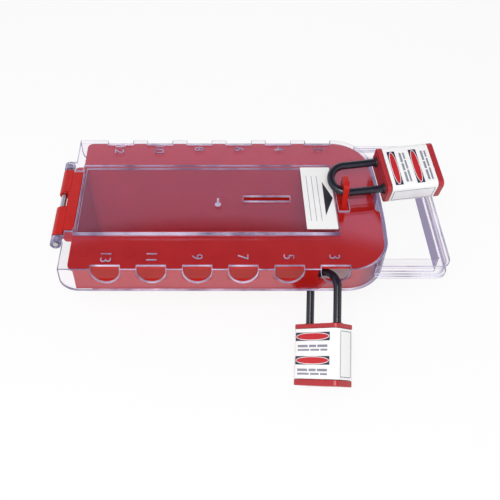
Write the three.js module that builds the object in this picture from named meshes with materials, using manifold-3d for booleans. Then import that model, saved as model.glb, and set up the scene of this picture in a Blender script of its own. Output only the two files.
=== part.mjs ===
// Group lockout box: a red moulded tray under a hinged clear cover with a carrying handle, thirteen
// padlock positions, and two keyed safety padlocks locked on. Millimetres, +Z up, the box lies flat.
// Origin: underside of the tray, on its centre line, midway along the two rows of lock holes.
import * as THREE from 'three';
import { mergeVertices } from 'three/addons/utils/BufferGeometryUtils.js';
import Module from 'manifold-3d';

const wasm = await Module();
wasm.setup();

// Driving dimensions of the box.
const pitch = 36; // between lock holes in a row
const locksPerRow = 6;
const coverTop = 80; // height of the cover's flat top over the bench
const coverWall = 2;
const trayWall = 2;
const halfWidth = 77.4; // of the cover, outside
const coverLeft = -127;
const coverRight = 135;
const coverCorner = 34;
const endArch = 1.4; // how far the right end bows out
const skirtHeight = 27;
const skirtHeelRadius = 14; // lower left corner of each clear skirt
const gap = 0.3; // between pieces that lie against each other
const overrun = 1; // how far a cut runs past the face it opens
const sliver = 0.02; // lets two joined solids share a skin

// Raised window panel of the cover.
const panelRise = 2.5;
const panelHalfWidth = 41;
const panelLeft = -119.5;
const panelRight = 97;
const slotLeft = 20; // key slot
const slotRight = 59;
const slotWidth = 5;
const slotCentreY = -1;

// Notches for the shackles.
const notchHalfWidth = 11.25;
const notchDepth = 16.5; // below the cover's top
const notchBite = 4.3; // into the cover's top face
const trayHoleHalfWidth = 13;
const trayHoleDepth = 16; // below the cover's top
const trayHoleCorner = 5;
const flangeBite = 2; // of the tray's flange behind each notch
const flangeBiteSlope = 1.2;

// Tray.
const troughHalfWidth = 42;
const troughLeft = -120;
const troughRight = 96;
const troughCorner = 6;
const troughDraft = 5; // how far its walls lean in, from rim to floor
const troughFoot = 3.5; // radius round its floor
const flangeLeft = -120;
const flangeCorner = 5;
const traySkirtLeft = -115.7;
const traySkirtGap = 0.4; // the tray's skirt ends this much above the cover's
const endRecessHalfWidth = 12;
const endRecessDepth = 3.5;

// Hinge at the left end.
const hingeX = -133;
const hingeDrop = 4.5; // of the pin's axis below the cover's top
const pinRadius = 2.4;
const pinShy = 0.5; // of the ears' outer faces
const knuckleRadius = 4.4;
const knuckleFrontInner = -8; // the knuckles' inner ends, with bare pin between them
const knuckleRearInner = 9.5;
const flapLeft = -129;
const flapRight = -119.5;
const flapHalfWidth = 34.5;
const flapThickness = 5.5;
const flapShy = 0.2; // of the cover's top
const flapClearance = 1;
const flapOpeningCorner = 2;
const tabLeft = -127.5;
const tabOverhang = 8.5; // of the tab past the flap, on each side
const tabThickness = 3.7;
const tabCorner = 4;
const earGap = 2.2; // from the flap's side to the ear
const earWidth = 11.3;
const earRadius = 4.5;
const earReach = 4;

// Lock eye at position 1.
const eyeX = 104;
const eyeThickness = 4.6;
const eyeRise = 22; // above the cover's top
const eyeBaseHalfWidth = 11;
const eyeTopHalfWidth = 7.5;
const eyeTopCorner = 4;
const eyeHoleRadius = 6.1;
const eyeHoleRise = 9.8; // hole centre above the cover's top
const eyeHoleY = -1;
const eyeSlotClearX = 2.2;
const eyeSlotClearY = 2;

// Carrying handle.
const handleArmInset = 5.4; // of the arms' outer faces from the cover's
const handleArmWidth = 8;
const gripInner = 172.5;
const gripWidth = 9.3;
const handleHeight = 15.4;
const handleDrop = 2.6; // of its top below the cover's top
const handleRoot = 116;
const handleOuterCorner = 9.6;
const handleInnerCorner = 3;
const beamFlange = 3;
const beamPocket = 2.6;
const handleJoin = 5; // the handle's own solid starts this far inside the cover's right end
const skirtJoin = 1; // the end skirt's own solid starts this far past the last lock hole

// Label beside the eye.
const labelLeft = 70.5;
const labelRight = 96;
const labelHalfWidth = 37;
const labelThickness = 0.4;

// Padlock, the same for both.
const lockWidth = 43.2;
const lockThickness = 22.6;
const lockHeight = 47.7;
const lockCorner = 4.5;
const topCapHeight = 3.6;
const bottomCapHeight = 4.8;
const wrapThickness = 0.6;
const shackleRadius = 3.2;
const shackleSpacing = 26.7; // between the legs' axes
const shackleStraight = 28.6; // of each leg above the body
const wellClearance = 0.35;
const heelWellFloor = 7.4; // from the lock's lower face to the heel leg's well
const springRoom = 10.5; // between the heel leg and the floor of its well
const toeTip = 2.9; // of the toe leg past the locking ball's centre
const toeWellRoom = 2;
const guideRadius = 4.3;
const guideRise = 1.2;
const cylinderRadius = 6.4;
const cylinderHeight = 25;
const plugRadius = 4.5;
const keywayWidth = 1.5;
const keywayDepth = 6.4;
const plugFaceShy = 0.4;
const pinCount = 5;
const pinPitch = 3.6;
const pinFirst = 6; // from the lock's lower face
const keyPinRadius = 1.05;
const chamberRadius = 1.35;
const keyPinStart = 2.2; // from the plug's axis
const keyPinLength = 2.2;
const driverPinLength = 1.4;
const camHeight = 3.4;
const camHalfLength = 4.6;
const camHalfWidth = 2.9;
const camGap = 0.5;
const camReach = 6.5; // of the cam below the balls' centres
const ballRadius = 2.3;
const ballStandoff = 0.25;
const latchNotchDepth = 1.2;
const springRadius = 2.3;
const springWire = 0.45;
const springTurns = 6;
const springLength = 9;
const keeperThickness = 2;

// Where the padlocks lie.
const lock1Yaw = 7.7;
const lock1Pitch = 1.1;
const lock1Roll = 13.8;
const lock1Reach = 33.5; // from the eye to the body, along the leg
const lock1Shift = -1.2; // of the leg from the hole's centre
const lock2Yaw = -93.2;
const lock2Pitch = -30.1;
const lock2Roll = 44.3;
const lock2Hole = 5; // which hole of the front row, counted from the left
const lock2BendX = -7.2; // of the bend's centre from the notch's lowest point
const lock2BendY = -0.9;
const lock2BendZ = -6.6;

// Facets.
const roundSides = 24;
const smallSides = 12;
const cornerSteps = 2;
const planSteps = 4;
const notchSteps = 5;
const bendSteps = 16;

const skirtBottom = coverTop - skirtHeight;
const coverUnderside = coverTop - coverWall;
const flangeTop = coverUnderside - gap;
const flangeUnderside = flangeTop - trayWall;
const hingeZ = coverTop - hingeDrop;
const pinBore = pinRadius + gap;
const trayHalfWidth = halfWidth - coverWall - gap;
const trayRight = coverRight - coverWall - gap;
const trayCorner = coverCorner - coverWall - gap;
const tabHalfWidth = flapHalfWidth + tabOverhang;
const earInner = flapHalfWidth + earGap;
const earOuter = earInner + earWidth;
const pinHalfLength = earOuter - pinShy;
const handleArmOuter = halfWidth - handleArmInset;
const handleArmInner = handleArmOuter - handleArmWidth;
const gripOuter = gripInner + gripWidth;
const ballHeight = lockHeight - gap - cylinderHeight - camGap - camReach; // below the lock's upper face
const heelWellDepth = lockHeight - heelWellFloor;
const heelDepth = heelWellDepth - springRoom;
const toeDepth = ballHeight + toeTip;
const toeWellDepth = toeDepth + toeWellRoom;
const holeXs = Array.from({ length: locksPerRow }, (_, i) => (i - (locksPerRow - 1) / 2) * pitch);

// Solids.
function solid(geometry) {
  const g = geometry.clone();
  g.deleteAttribute('normal');
  g.deleteAttribute('uv');
  const m = mergeVertices(g, 1e-4);
  return new wasm.Manifold(new wasm.Mesh({
    numProp: 3,
    vertProperties: Float32Array.from(m.attributes.position.array),
    triVerts: Uint32Array.from(m.index.array),
  }));
}

function geometryOf(manifold) {
  const mesh = manifold.getMesh();
  const g = new THREE.BufferGeometry();
  g.setAttribute('position', new THREE.BufferAttribute(Float32Array.from(mesh.vertProperties), 3));
  g.setIndex(new THREE.BufferAttribute(Uint32Array.from(mesh.triVerts), 1));
  return g;
}

const union = (...parts) => parts.reduce((a, b) => a.add(b));
const cut = (body, ...tools) => tools.reduce((a, b) => a.subtract(b), body);

function boxBetween(x0, x1, y0, y1, z0, z1) {
  const g = new THREE.BoxGeometry(x1 - x0, y1 - y0, z1 - z0);
  g.translate((x0 + x1) / 2, (y0 + y1) / 2, (z0 + z1) / 2);
  return solid(g);
}

// A plan outline raised from z0 to z1.
function prism(shape, z0, z1, steps = cornerSteps) {
  const g = new THREE.ExtrudeGeometry(shape, { depth: z1 - z0, bevelEnabled: false, curveSegments: steps });
  g.translate(0, 0, z0);
  return solid(g);
}

// An outline drawn in X and Z, pushed from y0 to y1.
function sidePrism(shape, y0, y1, steps = cornerSteps) {
  const g = new THREE.ExtrudeGeometry(shape, { depth: y1 - y0, bevelEnabled: false, curveSegments: steps });
  g.rotateX(Math.PI / 2);
  g.translate(0, y1, 0);
  return solid(g);
}

function cylinderY(x, z, radius, y0, y1, sides = roundSides) {
  const g = new THREE.CylinderGeometry(radius, radius, y1 - y0, sides);
  g.translate(x, (y0 + y1) / 2, z);
  return solid(g);
}

function cylinderX(y, z, radius, x0, x1, sides = roundSides) {
  const g = new THREE.CylinderGeometry(radius, radius, x1 - x0, sides);
  g.rotateZ(Math.PI / 2);
  g.translate((x0 + x1) / 2, y, z);
  return solid(g);
}

function cylinderZ(x, y, radius, z0, z1, sides = roundSides) {
  const g = new THREE.CylinderGeometry(radius, radius, z1 - z0, sides);
  g.rotateX(Math.PI / 2);
  g.translate(x, y, (z0 + z1) / 2);
  return solid(g);
}

// A rectangle with one radius at each corner: left front, right front, right rear, left rear.
function roundedRect(x0, x1, y0, y1, r) {
  const [a, b, c, d] = Array.isArray(r) ? r : [r, r, r, r];
  const s = new THREE.Shape();
  s.moveTo(x0 + a, y0);
  s.lineTo(x1 - b, y0);
  if (b) s.absarc(x1 - b, y0 + b, b, -Math.PI / 2, 0);
  s.lineTo(x1, y1 - c);
  if (c) s.absarc(x1 - c, y1 - c, c, 0, Math.PI / 2);
  s.lineTo(x0 + d, y1);
  if (d) s.absarc(x0 + d, y1 - d, d, Math.PI / 2, Math.PI);
  s.lineTo(x0, y0 + a);
  if (a) s.absarc(x0 + a, y0 + a, a, Math.PI, 1.5 * Math.PI);
  return s;
}

// The box's plan: square left end, round right corners, and a right end that bows out a little.
function boxPlan(left, right, half, corner, leftCorner = 0) {
  const s = new THREE.Shape();
  s.moveTo(left + leftCorner, -half);
  s.lineTo(right - corner, -half);
  s.absarc(right - corner, -half + corner, corner, -Math.PI / 2, 0);
  s.quadraticCurveTo(right + 2 * endArch, 0, right, half - corner);
  s.absarc(right - corner, half - corner, corner, 0, Math.PI / 2);
  s.lineTo(left + leftCorner, half);
  if (leftCorner) s.absarc(left + leftCorner, half - leftCorner, leftCorner, Math.PI / 2, Math.PI);
  s.lineTo(left, -half + leftCorner);
  if (leftCorner) s.absarc(left + leftCorner, -half + leftCorner, leftCorner, Math.PI, 1.5 * Math.PI);
  return s;
}

// A closed skin over rings of as many points each, with a flat lid on the first and last.
function loft(rings) {
  const positions = rings.flat().flatMap((p) => [p.x, p.y, p.z]);
  const sides = rings[0].length;
  const index = [];
  const last = rings.length - 1;
  for (let k = 0; k < last; k += 1) {
    for (let i = 0; i < sides; i += 1) {
      const j = (i + 1) % sides;
      const a = k * sides + i;
      const b = k * sides + j;
      index.push(a, b, b + sides, a, b + sides, a + sides);
    }
  }
  for (let i = 1; i < sides - 1; i += 1) {
    index.push(0, i + 1, i);
    index.push(last * sides, last * sides + i, last * sides + i + 1);
  }
  const g = new THREE.BufferGeometry();
  g.setAttribute('position', new THREE.BufferAttribute(new Float32Array(positions), 3));
  g.setIndex(index);
  return g;
}

// A closed round bar along stations of { p, u, v }: a point and the two axes of its cross-section.
function sweep(stations, radius, sides) {
  return loft(stations.map(({ p, u, v }) => Array.from({ length: sides }, (_, i) => {
    const t = (i / sides) * 2 * Math.PI;
    return p.clone().addScaledVector(u, radius * Math.cos(t)).addScaledVector(v, radius * Math.sin(t));
  })));
}

// Finishes.
const finish = (color, roughness, metalness, opacity = 1) => () => new THREE.MeshStandardMaterial({
  color, roughness, metalness, opacity, transparent: opacity < 1,
});
const redPlastic = finish(0xb01c1c, 0.25, 0);
const clearPlastic = finish(0xd9d2ea, 0.08, 0, 0.35);
const crimsonPlastic = finish(0xa8323c, 0.4, 0);
const whiteVinyl = finish(0xf4f4f2, 0.45, 0);
const blackCoating = finish(0x16161f, 0.3, 0);
const steel = finish(0x9a9a9c, 0.35, 1);
const brass = finish(0xb8974f, 0.35, 1);

const box = new THREE.Group();

function add(parent, name, manifold, material) {
  const geometry = manifold.isBufferGeometry ? manifold : geometryOf(manifold);
  const mesh = new THREE.Mesh(geometry, material());
  mesh.name = name;
  parent.add(mesh);
  return mesh;
}

// Clear cover.
function notchTool(x, side) {
  const s = new THREE.Shape();
  const top = coverTop + overrun;
  s.moveTo(x - notchHalfWidth, top);
  s.lineTo(x - notchHalfWidth, coverUnderside);
  s.absellipse(x, coverUnderside, notchHalfWidth, notchDepth - coverWall, Math.PI, 2 * Math.PI, false);
  s.lineTo(x + notchHalfWidth, top);
  const inner = halfWidth - notchBite;
  return side < 0
    ? sidePrism(s, -halfWidth - overrun, -inner, notchSteps)
    : sidePrism(s, inner, halfWidth + overrun, notchSteps);
}

function heelTool() {
  const s = new THREE.Shape();
  const x = coverLeft + skirtHeelRadius;
  const z = skirtBottom + skirtHeelRadius;
  s.moveTo(coverLeft - overrun, skirtBottom - overrun);
  s.lineTo(x, skirtBottom - overrun);
  s.lineTo(x, skirtBottom);
  s.absarc(x, z, skirtHeelRadius, 1.5 * Math.PI, Math.PI, true);
  s.lineTo(coverLeft - overrun, z);
  return sidePrism(s, -halfWidth - overrun, halfWidth + overrun, planSteps);
}

function handlePlan(inset) {
  const corner = handleOuterCorner - inset;
  const side = handleArmOuter - inset;
  return roundedRect(handleRoot, gripOuter - inset, -side, side, [0, corner, corner, 0]);
}

function handleWindow(outset) {
  const corner = handleInnerCorner + outset;
  const side = handleArmInner + outset;
  return roundedRect(handleRoot - overrun, gripInner + outset, -side, side, [0, corner, corner, 0]);
}

function handle() {
  const top = coverTop - handleDrop;
  const bottom = top - handleHeight;
  const bar = prism(handlePlan(0), bottom, top)
    .subtract(prism(handleWindow(0), bottom - overrun, top + overrun));
  const web = prism(handlePlan(beamPocket), bottom, top)
    .subtract(prism(handleWindow(beamPocket), bottom - overrun, top + overrun));
  const pocket = prism(handlePlan(-overrun), bottom + beamFlange, top - beamFlange)
    .subtract(prism(handleWindow(-overrun), bottom - overrun, top + overrun))
    .subtract(web);
  const half = coverWall / 2;
  const plan = boxPlan(coverLeft, coverRight - half, halfWidth - half, coverCorner - half);
  const inside = prism(plan, bottom - overrun, top + overrun, planSteps);
  return bar.subtract(pocket).subtract(inside);
}

function ear(side) {
  const [y0, y1] = side < 0 ? [-earOuter, -earInner] : [earInner, earOuter];
  const barrel = cylinderY(hingeX, hingeZ, earRadius, y0, y1);
  const neck = boxBetween(hingeX, hingeX + earReach, y0, y1, hingeZ, coverTop);
  const arm = boxBetween(hingeX, coverLeft + overrun, y0, y1, coverUnderside, coverTop);
  return union(barrel, neck, arm);
}

// The cover's top: flat plate, raised window panel, slots and hinge ears.
function coverTopPlate() {
  const plan = boxPlan(coverLeft, coverRight, halfWidth, coverCorner);
  const plate = prism(plan, coverUnderside, coverTop, planSteps);
  const panel = boxBetween(panelLeft, panelRight, -panelHalfWidth, panelHalfWidth,
    coverTop - sliver, coverTop + panelRise);
  const under = panelHalfWidth - coverWall;
  const hollow = boxBetween(panelLeft + coverWall + flapClearance, panelRight - coverWall, -under, under,
    coverUnderside - overrun, coverTop + panelRise - coverWall);
  const flapSide = flapHalfWidth + flapClearance;
  const flapOpening = prism(roundedRect(coverLeft - overrun, flapRight + flapClearance, -flapSide, flapSide,
    [0, flapOpeningCorner, flapOpeningCorner, 0]), skirtBottom - overrun, coverTop + panelRise + overrun);
  const slotFront = slotCentreY - slotWidth / 2;
  const keySlot = boxBetween(slotLeft, slotRight, slotFront, slotFront + slotWidth,
    coverUnderside, coverTop + panelRise + overrun);
  const eyeReachX = eyeThickness / 2 + eyeSlotClearX;
  const eyeReachY = eyeBaseHalfWidth + eyeSlotClearY;
  const eyeSlot = boxBetween(eyeX - eyeReachX, eyeX + eyeReachX, -eyeReachY, eyeReachY,
    coverUnderside - overrun, coverTop + overrun);
  const notches = holeXs.flatMap((x) => [notchTool(x, -1), notchTool(x, 1)]);
  const body = cut(union(plate, panel), hollow, flapOpening, keySlot, eyeSlot, ...notches);
  const bore = cylinderY(hingeX, hingeZ, pinBore, -earOuter - overrun, earOuter + overrun);
  return union(body, ear(-1), ear(1)).subtract(bore);
}

// The wall that hangs from the cover's top on three sides.
function coverSkirt() {
  const outer = boxPlan(coverLeft, coverRight, halfWidth, coverCorner);
  const inner = boxPlan(coverLeft - overrun, coverRight - coverWall, halfWidth - coverWall,
    coverCorner - coverWall);
  const notches = holeXs.flatMap((x) => [notchTool(x, -1), notchTool(x, 1)]);
  const wall = prism(outer, skirtBottom, coverUnderside, planSteps)
    .subtract(prism(inner, skirtBottom - overrun, coverUnderside + overrun, planSteps));
  return cut(wall, heelTool(), ...notches);
}

// The cover is one moulding, kept as five solids that meet on flat faces.
function addCover() {
  const low = skirtBottom - overrun;
  const high = coverTop + overrun;
  const farX = gripOuter + overrun;
  const farY = halfWidth + overrun;
  const joinX = coverRight - handleJoin;
  const skirt = coverSkirt();
  const beam = handle();
  const past = boxBetween(joinX, farX, -farY, farY, low, high);
  const endX = holeXs[locksPerRow - 1] + trayHoleHalfWidth + skirtJoin;
  const front = boxBetween(coverLeft - overrun, endX, -farY, 0, low, high);
  const rear = boxBetween(coverLeft - overrun, endX, 0, farY, low, high);
  add(box, 'cover_top', coverTopPlate(), clearPlastic);
  add(box, 'cover_front_skirt', skirt.intersect(front), clearPlastic);
  add(box, 'cover_rear_skirt', skirt.intersect(rear), clearPlastic);
  add(box, 'cover_end_skirt', union(cut(skirt, front, rear), beam.subtract(past)), clearPlastic);
  add(box, 'carry_handle', beam.intersect(past), clearPlastic);
}
addCover();

// Red tray.
function trayHoleTool(x, side) {
  const bottom = coverTop - trayHoleDepth;
  const s = roundedRect(x - trayHoleHalfWidth, x + trayHoleHalfWidth, bottom, flangeUnderside,
    [trayHoleCorner, trayHoleCorner, 0, 0]);
  const inner = trayHalfWidth - trayWall - overrun;
  return side < 0
    ? sidePrism(s, -trayHalfWidth - overrun, -inner)
    : sidePrism(s, inner, trayHalfWidth + overrun);
}

function flangeBiteTool(x, side) {
  const s = new THREE.Shape();
  const deep = side * (trayHalfWidth - flangeBite);
  const edge = side * trayHalfWidth;
  const past = side * (trayHalfWidth + overrun);
  const points = [
    [x - notchHalfWidth, deep], [x + notchHalfWidth, deep],
    [x + notchHalfWidth + flangeBiteSlope, edge], [x + notchHalfWidth + flangeBiteSlope, past],
    [x - notchHalfWidth - flangeBiteSlope, past], [x - notchHalfWidth - flangeBiteSlope, edge],
  ];
  s.setFromPoints(points.map(([px, py]) => new THREE.Vector2(px, py)));
  return prism(s, flangeUnderside - sliver, flangeTop + overrun);
}

function knuckle([y0, y1]) {
  const barrel = cylinderY(hingeX, hingeZ, knuckleRadius, y0, y1);
  const webTop = hingeZ + knuckleRadius - sliver;
  const web = boxBetween(hingeX, flapLeft + overrun, y0, y1, hingeZ - knuckleRadius / 2, webTop);
  return union(barrel, web);
}

function lockEye() {
  const s = new THREE.Shape();
  const top = coverTop + eyeRise;
  s.moveTo(-eyeBaseHalfWidth, flangeTop);
  s.lineTo(eyeBaseHalfWidth, flangeTop);
  s.lineTo(eyeTopHalfWidth, top - eyeTopCorner);
  s.quadraticCurveTo(eyeTopHalfWidth, top, eyeTopHalfWidth - eyeTopCorner, top);
  s.lineTo(eyeTopCorner - eyeTopHalfWidth, top);
  s.quadraticCurveTo(-eyeTopHalfWidth, top, -eyeTopHalfWidth, top - eyeTopCorner);
  const options = { depth: eyeThickness, bevelEnabled: false, curveSegments: cornerSteps };
  const g = new THREE.ExtrudeGeometry(s, options);
  g.rotateX(Math.PI / 2);
  g.rotateZ(Math.PI / 2);
  g.translate(eyeX - eyeThickness / 2, 0, 0);
  const hole = cylinderX(eyeHoleY, coverTop + eyeHoleRise, eyeHoleRadius,
    eyeX - eyeThickness, eyeX + eyeThickness);
  return solid(g).subtract(hole);
}

// A block over the notch in the tray's right end.
function endRecess() {
  return boxBetween(trayRight + endArch - endRecessDepth, coverRight + 2 * endArch,
    -endRecessHalfWidth, endRecessHalfWidth, skirtBottom - overrun, coverTop);
}

function troughPlan(inset) {
  return roundedRect(troughLeft + inset, troughRight - inset,
    -troughHalfWidth + inset, troughHalfWidth - inset, troughCorner - inset);
}

// The trough's plan at height z, its sides moved in by inset.
function troughRing(inset, corner, z) {
  const x0 = troughLeft + inset + corner;
  const x1 = troughRight - inset - corner;
  const y1 = troughHalfWidth - inset - corner;
  return [[x1, -y1], [x1, y1], [x0, y1], [x0, -y1]].flatMap(([x, y], k) => (
    Array.from({ length: cornerSteps + 1 }, (_, i) => {
      const t = (k - 1 + i / cornerSteps) * (Math.PI / 2);
      return new THREE.Vector3(x + corner * Math.cos(t), y + corner * Math.sin(t), z);
    })
  ));
}

// Walls that lean in from the rim down, over a rounded foot.
function troughSolid(inset, floor, top) {
  const rings = [];
  const ring = (z, more) => {
    const lean = troughDraft * (1 - z / flangeUnderside);
    rings.push(troughRing(inset + lean + more, troughCorner - inset, z));
  };
  for (let i = 0; i <= cornerSteps; i += 1) {
    const t = (i / cornerSteps) * (Math.PI / 2);
    ring(floor + troughFoot * (1 - Math.cos(t)), troughFoot * (1 - Math.sin(t)));
  }
  ring(top, 0);
  return solid(loft(rings));
}

function trayTrough() {
  return troughSolid(0, 0, flangeUnderside)
    .subtract(troughSolid(trayWall, trayWall, flangeUnderside + overrun));
}

function trayFlange() {
  const plan = boxPlan(flangeLeft, trayRight, trayHalfWidth, trayCorner, flangeCorner);
  const bites = holeXs.flatMap((x) => [flangeBiteTool(x, -1), flangeBiteTool(x, 1)]);
  const inside = prism(troughPlan(trayWall), trayWall, coverTop + overrun);
  return cut(prism(plan, flangeUnderside, flangeTop, planSteps), inside, endRecess(), ...bites);
}

function traySkirt() {
  const outer = boxPlan(traySkirtLeft, trayRight, trayHalfWidth, trayCorner);
  const inner = boxPlan(traySkirtLeft - overrun, trayRight - trayWall, trayHalfWidth - trayWall,
    trayCorner - trayWall);
  const wall = prism(outer, skirtBottom + traySkirtGap, flangeUnderside, planSteps)
    .subtract(prism(inner, skirtBottom - overrun, coverTop, planSteps));
  const holes = holeXs.flatMap((x) => [trayHoleTool(x, -1), trayHoleTool(x, 1)]);
  return cut(wall, endRecess(), ...holes);
}

// The tab under the ears, the flap that shows through the cover and its two knuckles.
function hingeFlap() {
  const tabPlan = roundedRect(tabLeft, troughLeft, -tabHalfWidth, tabHalfWidth, [tabCorner, 0, 0, tabCorner]);
  const tab = prism(tabPlan, flangeTop - tabThickness, flangeTop);
  const flapTop = coverTop - flapShy;
  const outside = boxBetween(flapLeft, troughLeft, -flapHalfWidth, flapHalfWidth,
    flapTop - flapThickness, flapTop);
  const inside = boxBetween(flapLeft, flapRight, -flapHalfWidth, flapHalfWidth, flangeTop, flapTop);
  const frontKnuckle = knuckle([-flapHalfWidth, knuckleFrontInner]);
  const rearKnuckle = knuckle([knuckleRearInner, flapHalfWidth]);
  const bore = cylinderY(hingeX, hingeZ, pinBore, -flapHalfWidth - overrun, flapHalfWidth + overrun);
  return union(tab, outside, inside, frontKnuckle, rearKnuckle).subtract(bore);
}

// The tray is one moulding, kept as six solids that meet on flat faces.
function addTray() {
  const skirt = traySkirt();
  const far = coverRight + 2 * endArch;
  const front = boxBetween(coverLeft, far, -halfWidth, 0, skirtBottom, coverTop);
  add(box, 'tray_trough', trayTrough(), redPlastic);
  add(box, 'tray_flange', trayFlange(), redPlastic);
  add(box, 'tray_front_skirt', skirt.intersect(front), redPlastic);
  add(box, 'tray_rear_skirt', skirt.subtract(front), redPlastic);
  add(box, 'hinge_flap', hingeFlap(), redPlastic);
  add(box, 'lock_eye', lockEye(), redPlastic);
}
addTray();

const pinRod = cylinderY(hingeX, hingeZ, pinRadius, -pinHalfLength, pinHalfLength, smallSides * 2);
add(box, 'hinge_pin', pinRod, steel);

add(box, 'position_label', boxBetween(labelLeft, labelRight, -labelHalfWidth, labelHalfWidth,
  coverTop + panelRise, coverTop + panelRise + labelThickness), whiteVinyl);

// Padlock, built upright: the body's upper face at z = 0, the shackle above it, the toe leg on -X.
const toeX = -shackleSpacing / 2;
const heelX = shackleSpacing / 2;
const wellRadius = shackleRadius + wellClearance;

function lockPlan(inset) {
  return roundedRect(-lockWidth / 2 + inset, lockWidth / 2 - inset, -lockThickness / 2 + inset,
    lockThickness / 2 - inset, lockCorner - inset);
}

function shackle() {
  const y = new THREE.Vector3(0, 1, 0);
  const stations = [];
  const leg = (x, z, away) => {
    stations.push({ p: new THREE.Vector3(x, 0, z), u: new THREE.Vector3(away, 0, 0), v: y });
  };
  leg(toeX, -toeDepth, 1);
  for (let i = 0; i <= bendSteps; i += 1) {
    const t = Math.PI * (1 - i / bendSteps);
    const out = new THREE.Vector3(Math.cos(t), 0, Math.sin(t));
    const p = out.clone().multiplyScalar(shackleSpacing / 2);
    p.z += shackleStraight;
    stations.push({ p, u: out.clone().negate(), v: y });
  }
  leg(heelX, -heelDepth, -1);
  const bar = solid(sweep(stations, shackleRadius, smallSides + 4));
  const inner = shackleSpacing / 2 - shackleRadius;
  const notchX = inner + latchNotchDepth - ballRadius;
  const reach = lockThickness / 2;
  const latch = (side) => cylinderY(side * notchX, -ballHeight, ballRadius, -reach, reach, smallSides);
  return cut(bar, latch(-1), latch(1));
}

function guide(x) {
  return cylinderZ(x, 0, guideRadius, -topCapHeight, guideRise)
    .subtract(cylinderZ(x, 0, wellRadius, -topCapHeight - overrun, guideRise + overrun));
}

function topCap() {
  const low = -topCapHeight - overrun;
  const holes = [toeX, heelX].map((x) => cylinderZ(x, 0, guideRadius + gap, low, overrun));
  return cut(prism(lockPlan(0), -topCapHeight, 0), ...holes);
}

const coreTop = -topCapHeight - gap;
const coreBottom = -lockHeight + bottomCapHeight + gap;
const cylinderBottom = -lockHeight + gap;
const cylinderTop = cylinderBottom + cylinderHeight;

function bodyCore() {
  const block = prism(lockPlan(wrapThickness + gap), coreBottom, coreTop);
  const heelWell = cylinderZ(heelX, 0, wellRadius, -heelWellDepth, overrun);
  const toeWell = cylinderZ(toeX, 0, wellRadius, -toeWellDepth, overrun);
  const camRoomTop = -ballHeight + ballRadius + gap;
  const camRoom = cylinderZ(0, 0, cylinderRadius + gap, coreBottom - overrun, camRoomTop);
  const ballWay = cylinderX(0, -ballHeight, ballRadius + gap, toeX, heelX, smallSides * 2);
  return cut(block, heelWell, toeWell, camRoom, ballWay);
}

function labelWrap() {
  const inside = prism(lockPlan(wrapThickness), coreBottom - overrun, coreTop + overrun);
  return prism(lockPlan(0), coreBottom, coreTop).subtract(inside);
}

function bottomCap() {
  const top = -lockHeight + bottomCapHeight;
  const well = cylinderZ(0, 0, cylinderRadius + gap, -lockHeight - overrun, top + overrun);
  return prism(lockPlan(0), -lockHeight, top).subtract(well);
}

const pinZs = Array.from({ length: pinCount }, (_, i) => -lockHeight + pinFirst + i * pinPitch);

function radial(radius, y0, y1, z, sides = smallSides) {
  return cylinderY(0, z, radius, y0, y1, sides);
}

function cylinderShell() {
  const tube = cylinderZ(0, 0, cylinderRadius, cylinderBottom, cylinderTop)
    .subtract(cylinderZ(0, 0, plugRadius + gap, cylinderBottom - overrun, cylinderTop + overrun));
  return cut(tube, ...pinZs.map((z) => radial(chamberRadius, 0, cylinderRadius + overrun, z)));
}

function keyPlug() {
  const bar = cylinderZ(0, 0, plugRadius, cylinderBottom + plugFaceShy, cylinderTop);
  const keyway = boxBetween(-keywayWidth / 2, keywayWidth / 2,
    -plugRadius - overrun, keywayDepth - plugRadius,
    cylinderBottom - overrun, cylinderTop - keeperThickness);
  const chambers = pinZs.map((z) => radial(chamberRadius, 0, plugRadius + overrun, z));
  return cut(bar, keyway, ...chambers);
}

function pin(y0, length, z) {
  return radial(keyPinRadius, y0, y0 + length, z, smallSides - 4);
}

function cam() {
  const z1 = -ballHeight + camHeight / 2;
  return prism(roundedRect(-camHalfLength, camHalfLength, -camHalfWidth, camHalfWidth, camHalfWidth / 2),
    cylinderTop + camGap, z1);
}

function lockingBall(side) {
  const g = new THREE.SphereGeometry(ballRadius, smallSides, smallSides / 2);
  g.translate(side * (shackleSpacing / 2 - shackleRadius - ballStandoff - ballRadius), 0, -ballHeight);
  return solid(g);
}

function shackleSpring() {
  const stations = [];
  const steps = springTurns * 8;
  const top = -heelDepth - gap - springWire;
  for (let i = 0; i <= steps; i += 1) {
    const t = (i / 8) * 2 * Math.PI;
    const out = new THREE.Vector3(Math.cos(t), Math.sin(t), 0);
    const rise = springLength / (springTurns * 2 * Math.PI);
    const along = new THREE.Vector3(-Math.sin(t) * springRadius, Math.cos(t) * springRadius, -rise);
    along.normalize();
    const p = out.clone().multiplyScalar(springRadius).add(new THREE.Vector3(heelX, 0, top - rise * t));
    stations.push({ p, u: out, v: along.clone().cross(out) });
  }
  return solid(sweep(stations, springWire, 5));
}

// Turns the upright padlock so that its body points along yaw and pitch, rolled about that line.
function lockAxes(yaw, pitchAngle, roll) {
  const [y, p, r] = [yaw, pitchAngle, roll].map(THREE.MathUtils.degToRad);
  const a = new THREE.Vector3(Math.cos(y) * Math.cos(p), Math.sin(y) * Math.cos(p), Math.sin(p));
  const w0 = new THREE.Vector3(0, 0, 1).cross(a).normalize();
  const n0 = a.clone().cross(w0);
  const w = w0.multiplyScalar(Math.cos(r)).addScaledVector(n0, Math.sin(r));
  return { a, w, across: w.clone().cross(a) };
}

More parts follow.
